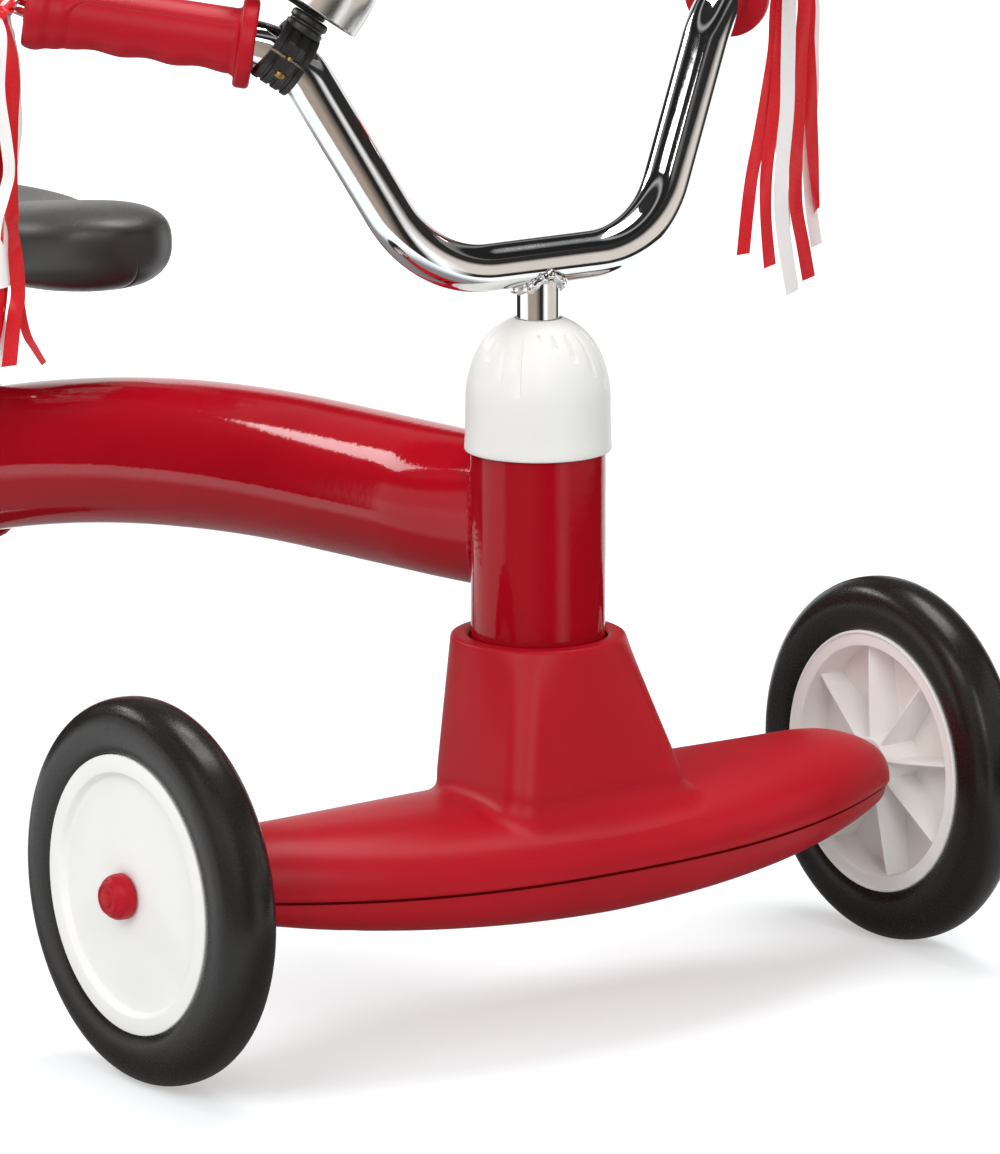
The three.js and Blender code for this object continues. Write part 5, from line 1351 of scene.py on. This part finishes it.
# %% Make the ribbons
def make_bunch(name, rows, material, side_node):
    """One colour of a bunch as one sheet, cut from strips laid side by side."""
    parts, length = [], 0.0
    for stops, turns, width in rows:
        parts.append(ribbon(stops, turns, width))
        line = route_through(stops)
        length = max(length, sum((b - a).length for a, b in zip(line, line[1:])))
    piece = make_piece(name, *several(*parts), material, side_node, sharp=70)
    print(name, "ribbons:", len(rows), "longest", round(length / MM), "mm")


make_bunch("streamers_left_red", left_red, ribbon_red, "streamers_left")
make_bunch("streamers_left_white", left_white, ribbon_white, "streamers_left")
make_bunch("streamers_right_red", right_red, ribbon_red, "streamers_right")
make_bunch("streamers_right_white", right_white, ribbon_white, "streamers_right")

# %% [markdown]
# A round plug jams the ribbons' roots into the grip's open end.

# %% Ribbon plugs
for name, side in (("left", 1), ("right", -1)):
    corner, out, across, up, length = grip_frame(side)
    plug = eased([(0, length - 6), (6, length - 6), (6, length + 2.2), (4.8, length + 3.4),
                  (0, length + 3.6)], 0.8)
    plug_skin = turned(plug, corner, out, 40, closed=False)
    make_piece(f"streamer_plug_{name}", *plug_skin, moulded_red, f"streamers_{name}")
print("plugs: 2")

# %% [markdown]
# ## The saddle
# A hard moulded shell, not a cushion: a rounded nose, a back that falls to where the rider sits
# and a wide tail that turns up. Its cross-sections are squarish ovals whose width and crest change
# along the length. Only the outer skin is lofted, left open underneath. A Solidify modifier then
# gives it the wall that the real moulding has.


# %% Crest, foot and width along the saddle
NOSE_BACK, SADDLE_LENGTH, NOSE_CREST = 289, 211, 286
MOUTH_START, MOUTH_END = 0.09, 0.93


def blunt(share, power):
    """Runs from 0 at an end to 1, along a quarter of an oval."""
    return max(0.0, 1 - max(0, 1 - share) ** power) ** (1 / power)


def saddle_section(share):
    """Half width, crest and foot of the saddle, in millimetres, from nose 0 to tail 1."""
    nose_round, tail_round = blunt(share / 0.24, 2.14), blunt((1 - share) / 0.24, 2.3)
    half = (36.5 + 42 * eased_step(share - 0.3, 0.5)) * nose_round * tail_round
    dip = min(1, share / 0.66)
    lift = max(0, (share - 0.7) / 0.3)
    crest = NOSE_CREST - 19 * dip ** 1.4 + 8 * lift * lift
    foot = 247 - 11 * min(1, share * 1.3)
    ends = min(nose_round, tail_round) ** 0.5
    middle = (crest + foot) / 2
    return half, middle + (crest - middle) * ends, middle, middle - (middle - foot) * ends


# %% Loft the saddle's skin
def saddle_ring(share, drawn, steps=80):
    """A cross-section whose walk round goes from the inner edge of one rim over to the other's."""
    half, crest, middle, foot = saddle_section(share)
    ring = []
    for j in range(steps + 1):
        angle = math.radians(-90 + drawn + (360 - 2 * drawn) * j / steps)
        square = 2 / (2.8 if math.sin(angle) > 0 else 2.35)
        side = math.copysign(abs(math.cos(angle)) ** square, math.cos(angle))
        rise = math.copysign(abs(math.sin(angle)) ** square, math.sin(angle))
        reach = crest - middle if rise > 0 else middle - foot
        back = NOSE_BACK + SADDLE_LENGTH * share
        ring.append(at(-half * side, back, middle + rise * reach))
    return ring


saddle_rows = []
for k in range(121):
    share = 0.5 - 0.5 * math.cos(math.pi * k / 120)
    half = max(saddle_section(share)[0], 1e-3)
    mouth = max(0.0, half - 10) / half
    ends = max(0, min(1, (share - MOUTH_START) / 0.06, (MOUTH_END - share) / 0.05))
    saddle_rows.append(saddle_ring(share, 0.2 + 32 * mouth * ends ** 0.5))
points, faces = skin(saddle_rows, closed=False)
saddle = make_piece("saddle_skin", points, faces, saddle_black, "saddle", sharp=60)
wall = saddle.modifiers.new("wall", "SOLIDIFY")
wall.thickness, wall.offset, wall.use_even_offset = 3.6 * MM, -1, False
print("saddle faces:", len(saddle.data.polygons))

# %% [markdown]
# ### Plate, bolts, post and seat tube
# Under the shell a steel plate spreads the load, and the post slides in a tube that is welded
# upright on the beam. A lobed knob behind it clamps the post. These are outlines with a thickness,
# and turned pieces, as on the real thing.


# %% A plate from its outline
def drawn_in(outline, amount):
    """The outline moved inward, each point along the line that halves its corner."""
    result = []
    for i, p in enumerate(outline):
        before, after = outline[i - 1], outline[(i + 1) % len(outline)]
        run = (Vector(after) - Vector(before)).normalized()
        result.append((p[0] - run.y * amount, p[1] + run.x * amount))
    return result


def plate(outline, origin, u_way, v_way, low, high, edge=0.5):
    """An outline of (u, v) millimetres, walked counterclockwise, between two heights."""
    thick = u_way.cross(v_way)
    rings = []
    for height, amount in ((low, edge), (low + edge, 0), (high - edge, 0), (high, edge)):
        rings.append([origin + (u_way * u + v_way * v + thick * height) * MM
                      for u, v in drawn_in(outline, amount)])
    return skin(rings)


def round_corners(half_u, half_v, radius, steps=8):
    outline = []
    for turn, (u, v) in enumerate(((1, 1), (-1, 1), (-1, -1), (1, -1))):
        for k in range(steps + 1):
            angle = math.pi / 2 * (turn + k / steps)
            outline.append((u * (half_u - radius) + radius * math.cos(angle),
                            v * (half_v - radius) + radius * math.sin(angle)))
    return outline


def hexagon(radius):
    """Six flats with lightly rounded corners."""
    corners = [(radius * math.cos(a), radius * math.sin(a)) for a in angles_round(6)]
    return [tuple(p) for p in eased(corners, 0.12 * radius, 2, closed=True)]


# %% Seat plate and bolts
seat_place = Vector((0, 0.177, 0))
seat_plate = plate(round_corners(24, 52, 7), seat_place, X_WAY, Y_WAY, 246.3, 249.3)
make_piece("seat_plate_skin", *seat_plate, zinc, "seat_plate")
for name, along in (("front", 139), ("rear", 215)):
    place = Vector((0, along * MM, 0))
    shank = turned(eased([(0, 246), (2.5, 246), (2.5, 263.3), (0, 263.3)], 0.5), place, Z_WAY, 28,
                   closed=False)
    head = plate(hexagon(4.5), place, X_WAY, Y_WAY, 243, 246, 0.4)
    make_piece(f"seat_bolt_{name}_skin", *several(shank, head), zinc, f"seat_bolt_{name}")
print("seat plate and bolts done")

# %% Seat post and tube
post = eased([(10.2, 168), (12.2, 168), (12.2, 246), (10.2, 246)], 0.4, closed=True)
turn_piece("seat_post", post, seat_place, Z_WAY, 72, chrome)
tube = eased([(12.5, 160), (14, 160), (14, 222), (12.5, 222)], 0.4, closed=True)
knob_place = seat_place + Vector((0, 0, 0.206))
boss = turned([(0, 12.6), (7.4, 12.6), (7.0, 14.6), (7.0, 21.5), (6.6, 22), (3.3, 22)],
              knob_place, Y_WAY, 48, closed=False)
seat_tube = several(turned(tube, seat_place, Z_WAY, 72), boss)
make_piece("seat_tube_skin", *seat_tube, paint_red, "seat_tube")
print("seat post and tube done")


# %% Seat knob with its clamp screw
def knob_outline(grow):
    outline = []
    for angle in angles_round(144):
        radius = 15 * (1 - 0.09 * (1 - math.cos(6 * angle))) + grow
        outline.append((radius * math.cos(angle), radius * math.sin(angle)))
    return outline


knob_rings = []
for along, grow in ((22.3, -3.0), (22.3, -0.9), (23.0, 0), (30.6, 0), (31.6, -0.7), (32.1, -2.2),
                    (32.3, -5.0), (31.5, -7.0), (31.3, -9.5)):
    knob_rings.append([knob_place + (X_WAY * u - Z_WAY * v + Y_WAY * along) * MM
                       for u, v in knob_outline(grow)])
screw = turned(eased([(0, 12.5), (3, 12.5), (3, 26), (0, 26)], 0.4), knob_place, Y_WAY, 28,
               closed=False)
make_piece("seat_knob_skin", *several(skin(knob_rings), screw), clamp_black, "seat_knob", sharp=35)
print("knob lobes: 6")

# %% Weld where the seat tube stands on the beam
foot_weld = []
for k in range(121):
    angle = 2 * math.pi * k / 120
    x, y = 14.6 * math.cos(angle), seat_place.y + 0.0146 * math.sin(angle)
    best = min((abs(beam_place(r)[0].y - y), r) for r in range(400, 461))[1]
    place, fall = beam_place(best)
    top = place.z + (math.sqrt(31.5 ** 2 - x * x) / math.cos(fall)) * MM
    foot_weld.append(Vector((x * MM, y, top + 0.0004)))


def seat_puddles(share):
    return 1.7 + 0.5 * abs(math.sin(math.pi * 24 * share))


make_piece("seat_weld", *swept(foot_weld, seat_puddles, 12), paint_red, "seat_tube")
print("seat weld done")

# %% [markdown]
# ## The rear fork
# Two flat steel legs hang from a plate that closes the beam's end, with the wheel's axle through
# both. They are guessed, since the picture doesn't reach them, and so they are kept plain.

# %% Fork crown and legs
crown_out = -fork_down
crown_plate = plate(round_corners(32, 40, 24), crown_place, X_WAY, fork_up, -4.3, -0.3, 0.6)
make_piece("fork_crown_skin", *crown_plate, paint_red, "fork_crown")


def leg_outline():
    """The hull of the leg's straight top and the round eye, in the fork's own directions."""
    eye, radius = Vector((-7.0, -85.0)), 13.0
    outline = [Vector((27.0, -4.6)), Vector((-27.0, -4.6))]
    arcs = []
    for corner, hand in ((outline[1], 1), (outline[0], -1)):
        way = corner - eye
        lean = math.acos(radius / way.length) * hand
        arcs.append(math.atan2(way.y, way.x) + lean)
    start, stop = arcs
    while stop < start:
        stop += 2 * math.pi
    for k in range(33):
        angle = start + (stop - start) * k / 32
        outline.append(eye + Vector((math.cos(angle), math.sin(angle))) * radius)
    return [tuple(p) for p in outline]


for name, low in (("left", 18.0), ("right", -22.0)):
    leg = plate(leg_outline(), crown_place, fork_up, crown_out, low, low + 4)
    make_piece(f"fork_leg_{name}_skin", *leg, paint_red, f"fork_leg_{name}")
print("fork legs:", 2)

# %% Rear axle, nut and spacers
axle_shank = turned(eased([(0, -29.3), (4, -29.3), (4, 22.3), (0, 22.3)], 0.5), rear_axle,
                    X_WAY, 40, closed=False)
axle_head = plate(hexagon(7), rear_axle, Y_WAY, Z_WAY, 22.3, 27.3, 0.6)
make_piece("rear_axle_skin", *several(axle_shank, axle_head), zinc, "rear_axle")
rear_nut = plate(hexagon(7), rear_axle, Y_WAY, Z_WAY, -27.3, -22.3, 0.6)
make_piece("rear_nut_skin", *rear_nut, zinc, "rear_nut")
for name, low, high in (("left", 11.5, 17.7), ("right", -17.7, -11.8)):
    ring = eased([(4.3, low), (7, low), (7, high), (4.3, high)], 0.4, closed=True)
    turn_piece(f"rear_spacer_{name}", ring, rear_axle, X_WAY, 48, zinc)
print("rear axle done")

# %% [markdown]
# ## What stays as it was drawn
# The pieces hidden inside, such as the axle, its tube, the head bushes and the folded carrier, have
# the right shape already. They get their finish, and a small bevel, because no real edge is sharp.

# %% Dress the inner solids
inner_finishes = {
    "front_axle": zinc, "axle_tube": zinc, "thrust_washer": nylon, "axle_carrier": zinc,
    "stem_bolt": zinc, "stem_nut": zinc, "head_bush_upper": nylon, "head_bush_lower": nylon,
}
for name, finish in inner_finishes.items():
    solid = frame["nodes"][name]
    for place in solid.material_slots:
        place.material = finish
    edge = solid.modifiers.new("edge", "BEVEL")
    edge.width, edge.segments, edge.limit_method = 0.3 * MM, 2, "ANGLE"
print("inner solids:", len(inner_finishes))

# %% [markdown]
# ## Floor and world
# The picture has a white ground with only a soft shadow. The floor is pale and matt, and adds a
# little light of its own where the camera or a reflection looks at it, so that it reads as white
# while the shadow stays. The world is white to the camera too, and lights the scooter more gently
# than it looks. In a reflection it is white near the horizon and mostly dark overhead, with two
# paler bands, as a studio is above its backdrop. Without that dark ceiling every gloss would be
# veiled in white.


# %% Seen by the camera or in a reflection
def seen_directly(tree):
    """One where a ray comes from the camera, from gloss or through glass, otherwise zero."""
    rays = tree.nodes.new("ShaderNodeLightPath").outputs
    either = reckon(tree, "ADD", rays["Is Camera Ray"], rays["Is Glossy Ray"], clamped=True)
    return reckon(tree, "ADD", either, rays["Is Transmission Ray"], clamped=True)


# %% Floor: its colour and its own light
floor_finish = bpy.data.materials.new("floor")
floor_finish.use_nodes = True
tree = floor_finish.node_tree
shader = tree.nodes["Principled BSDF"]
shader.inputs["Roughness"].default_value = 0.9
shader.inputs["Specular IOR Level"].default_value = 0.0
speckle = tree.nodes.new("ShaderNodeTexNoise")
speckle.inputs["Scale"].default_value = 3.0
tint = colours_mixed(tree, speckle.outputs["Fac"], ink(198, 204, 207), ink(203, 208, 210))
tree.links.new(tint, shader.inputs["Base Color"])
spot = tree.nodes.new("ShaderNodeNewGeometry")
distance = tree.nodes.new("ShaderNodeVectorMath")
distance.operation = "LENGTH"
tree.links.new(spot.outputs["Position"], distance.inputs[0])
sweep = ranged(tree, distance.outputs["Value"], 0.7, 2.2, 0.45, 1.0)
glow = tree.nodes.new("ShaderNodeEmission")
glow.inputs["Color"].default_value = (1.0, 0.985, 0.97, 1)
tree.links.new(reckon(tree, "MULTIPLY", seen_directly(tree), sweep), glow.inputs["Strength"])
pale_floor = tree.nodes.new("ShaderNodeAddShader")
tree.links.new(shader.outputs["BSDF"], pale_floor.inputs[0])
tree.links.new(glow.outputs["Emission"], pale_floor.inputs[1])
print("floor finish:", floor_finish.name)

# %% [markdown]
# The real ground is in the scooter's own shade just under it, and its glossy red and chrome mirror
# that shade from below. The floor's own light would wash it out, so a reflection, and nothing
# else, sees a darker oval under the scooter.

# %% Floor: the shade that reflections see, and the mesh
shaded = tree.nodes.new("ShaderNodeBsdfDiffuse")
shaded.inputs["Color"].default_value = ink(70, 62, 58)
narrow = tree.nodes.new("ShaderNodeVectorMath")
narrow.operation = "MULTIPLY"
narrow.inputs[1].default_value = (1.8, 1.0, 1.0)
tree.links.new(spot.outputs["Position"], narrow.inputs[0])
beneath = tree.nodes.new("ShaderNodeVectorMath")
beneath.operation = "LENGTH"
tree.links.new(narrow.outputs["Vector"], beneath.inputs[0])
under = ranged(tree, beneath.outputs["Value"], 0.46, 0.6, 0.8, 0.0)
rays = tree.nodes.new("ShaderNodeLightPath")
in_gloss = reckon(tree, "MULTIPLY", rays.outputs["Is Glossy Ray"], under)
ground_seen = tree.nodes.new("ShaderNodeMixShader")
tree.links.new(in_gloss, ground_seen.inputs[0])
tree.links.new(pale_floor.outputs["Shader"], ground_seen.inputs[1])
tree.links.new(shaded.outputs["BSDF"], ground_seen.inputs[2])
tree.links.new(ground_seen.outputs["Shader"], tree.nodes["Material Output"].inputs["Surface"])
ground = bpy.data.meshes.new("floor")
ground.from_pydata([(-9, -9, 0), (9, -9, 0), (9, 9, 0), (-9, 9, 0)], [], [(0, 1, 2, 3)])
ground.materials.append(floor_finish)
floor = bpy.data.objects.new("floor", ground)
bpy.context.scene.collection.objects.link(floor)
print("floor laid")


# %% World
def warm(grey):
    return (grey, grey * 0.93, grey * 0.86, 1)


world = bpy.data.worlds.new("studio")
world.use_nodes = True
bpy.context.scene.world = world
tree = world.node_tree
background = tree.nodes["Background"]
background.inputs["Color"].default_value = (1, 1, 1, 1)
direction = tree.nodes.new("ShaderNodeTexCoord")
split = tree.nodes.new("ShaderNodeSeparateXYZ")
tree.links.new(direction.outputs["Generated"], split.inputs["Vector"])
bands = ((0.27, 0.30), (0.31, 0.03), (0.40, 0.02), (0.46, 0.30), (0.55, 0.22), (0.60, 0.02),
         (0.78, 0.02), (0.83, 0.5), (0.88, 0.03))
ceiling = ramp_of(tree, split.outputs["Z"], (0.22, 1.0),
                  *[(height, warm(grey)) for height, grey in bands], last=(1.0, 0.03))
rays = tree.nodes.new("ShaderNodeLightPath").outputs
mirrored = reckon(tree, "ADD", rays["Is Glossy Ray"], rays["Is Transmission Ray"], clamped=True)
level = tree.nodes.new("ShaderNodeMix")
tree.links.new(mirrored, level.inputs["Factor"])
tree.links.new(ranged(tree, rays["Is Camera Ray"], 0, 1, 0.55, 1.0), level.inputs["A"])
tree.links.new(ceiling, level.inputs["B"])
tree.links.new(level.outputs["Result"], background.inputs["Strength"])
print("world set")

# %% [markdown]
# ## Lights
# Large soft panels light it: one above, one on the left, a weaker one in front and a small one
# behind, whose reflection is the bright band along the beam. Chrome needs something dark to show,
# or it looks like grey plastic, and a clear red needs it too, or it turns pink. In a studio dark
# cloths hang round the object for that, with gaps between them. Here they are one ring that only
# reflections can see, and a radial gradient says where a cloth hangs and where there is a gap.


# %% Lamps
def panel_light(name, place, towards, size, power):
    lamp = bpy.data.lights.new(name, "AREA")
    lamp.shape, lamp.size, lamp.size_y, lamp.energy = "RECTANGLE", size[0], size[1], power
    light = bpy.data.objects.new(name, lamp)
    light.location = place
    light.rotation_euler = (Vector(towards) - Vector(place)).to_track_quat("-Z", "Y").to_euler()
    bpy.context.scene.collection.objects.link(light)


panel_light("overhead", (0.5, 0.1, 2.2), (0, 0, 0.15), (1.2, 1.2), 30)
panel_light("from_the_left", (-2.15, -1.0, 1.9), (0, 0, 0.2), (1.5, 1.5), 27)
panel_light("from_the_front", (-0.9, -2.3, 1.5), (0, 0, 0.2), (0.8, 1.2), 16)
panel_light("from_behind", (-0.8, 1.72, 1.36), (0, 0, 0.2), (0.9, 0.45), 12)
print("lamps: 4")

# %% [markdown]
# ### The cloths' colours
# Most of the ring is near black. One cloth is brown, for the warm streaks in the chrome, and the
# one beside it has a paler strip at the height of the bow, so that the crossbar isn't all black.

# %% Cloths: near black, brown, and a paler strip
cloth_finish = bpy.data.materials.new("dark_cloths")
cloth_finish.use_nodes = True
tree = cloth_finish.node_tree
cloth = tree.nodes["Principled BSDF"]
cloth.inputs["Roughness"].default_value = 0.9
weave = tree.nodes.new("ShaderNodeTexNoise")
weave.inputs["Scale"].default_value = 9.0
spot = tree.nodes.new("ShaderNodeNewGeometry")
around = tree.nodes.new("ShaderNodeTexGradient")
around.gradient_type = "RADIAL"
tree.links.new(spot.outputs["Position"], around.inputs["Vector"])
turn = around.outputs["Fac"]
parts = tree.nodes.new("ShaderNodeSeparateXYZ")
tree.links.new(spot.outputs["Position"], parts.inputs["Vector"])
brown = ramp_of(tree, turn, (0.04, 0), (0.07, 1), (0.16, 1), last=(0.21, 0))
beside = ramp_of(tree, turn, (0.23, 0), (0.26, 1), (0.39, 1), last=(0.42, 0))
raised = ramp_of(tree, parts.outputs["Z"], (0.11, 0), (0.14, 1), (0.26, 1), (0.38, 0.9),
                 last=(0.46, 0))
dark = colours_mixed(tree, weave.outputs["Fac"], ink(4, 4, 5), ink(40, 34, 30))
dyed = colours_mixed(tree, brown, dark, ink(188, 170, 154))
strip = reckon(tree, "MULTIPLY", beside, raised)
tree.links.new(colours_mixed(tree, strip, dyed, ink(244, 233, 222)), cloth.inputs["Base Color"])
print("cloth finish:", cloth_finish.name)

# %% Cloths: where each one hangs, as shares of the way round
CLOTHS, SOFT_EDGE = ((0.055, 0.245), (0.275, 0.47), (0.57, 0.61), (0.70, 0.885)), 0.012
edges = []
for start, stop in CLOTHS:
    edges += [(start - SOFT_EDGE, 0), (start + SOFT_EDGE, 1),
              (stop - SOFT_EDGE, 1), (stop + SOFT_EDGE, 0)]
hanging = ramp_of(tree, turn, (0.0, 0), *edges, last=(1.0, 0))
gap = tree.nodes.new("ShaderNodeBsdfTransparent")
hung_cloth = tree.nodes.new("ShaderNodeMixShader")
tree.links.new(hanging, hung_cloth.inputs[0])
tree.links.new(gap.outputs["BSDF"], hung_cloth.inputs[1])
tree.links.new(cloth.outputs["BSDF"], hung_cloth.inputs[2])
tree.links.new(hung_cloth.outputs["Shader"], tree.nodes["Material Output"].inputs["Surface"])
print("cloths:", len(CLOTHS))

# %% The ring that they hang on
RING_RADIUS, RING_LOW, RING_HIGH = 0.66, 0.004, 0.62
ring_low, ring_high = [], []
for angle in angles_round(96):
    way = Vector((math.cos(angle), math.sin(angle), 0)) * RING_RADIUS
    ring_low.append(way + Z_WAY * RING_LOW)
    ring_high.append(way + Z_WAY * RING_HIGH)
points, faces = skin([ring_low, ring_high], capped=False)
cloth_mesh = bpy.data.meshes.new("dark_cloths")
cloth_mesh.from_pydata([tuple(p) for p in points], [], faces)
cloth_mesh.materials.append(cloth_finish)
cloths = bpy.data.objects.new("dark_cloths", cloth_mesh)
bpy.context.scene.collection.objects.link(cloths)
cloths.visible_camera = cloths.visible_diffuse = cloths.visible_shadow = False
print("ring points:", len(points))

# %% [markdown]
# ## The end
# The view transform is Standard, so a colour on screen is the colour that was written.

# %% Finish
bpy.context.scene.view_settings.view_transform = "Standard"
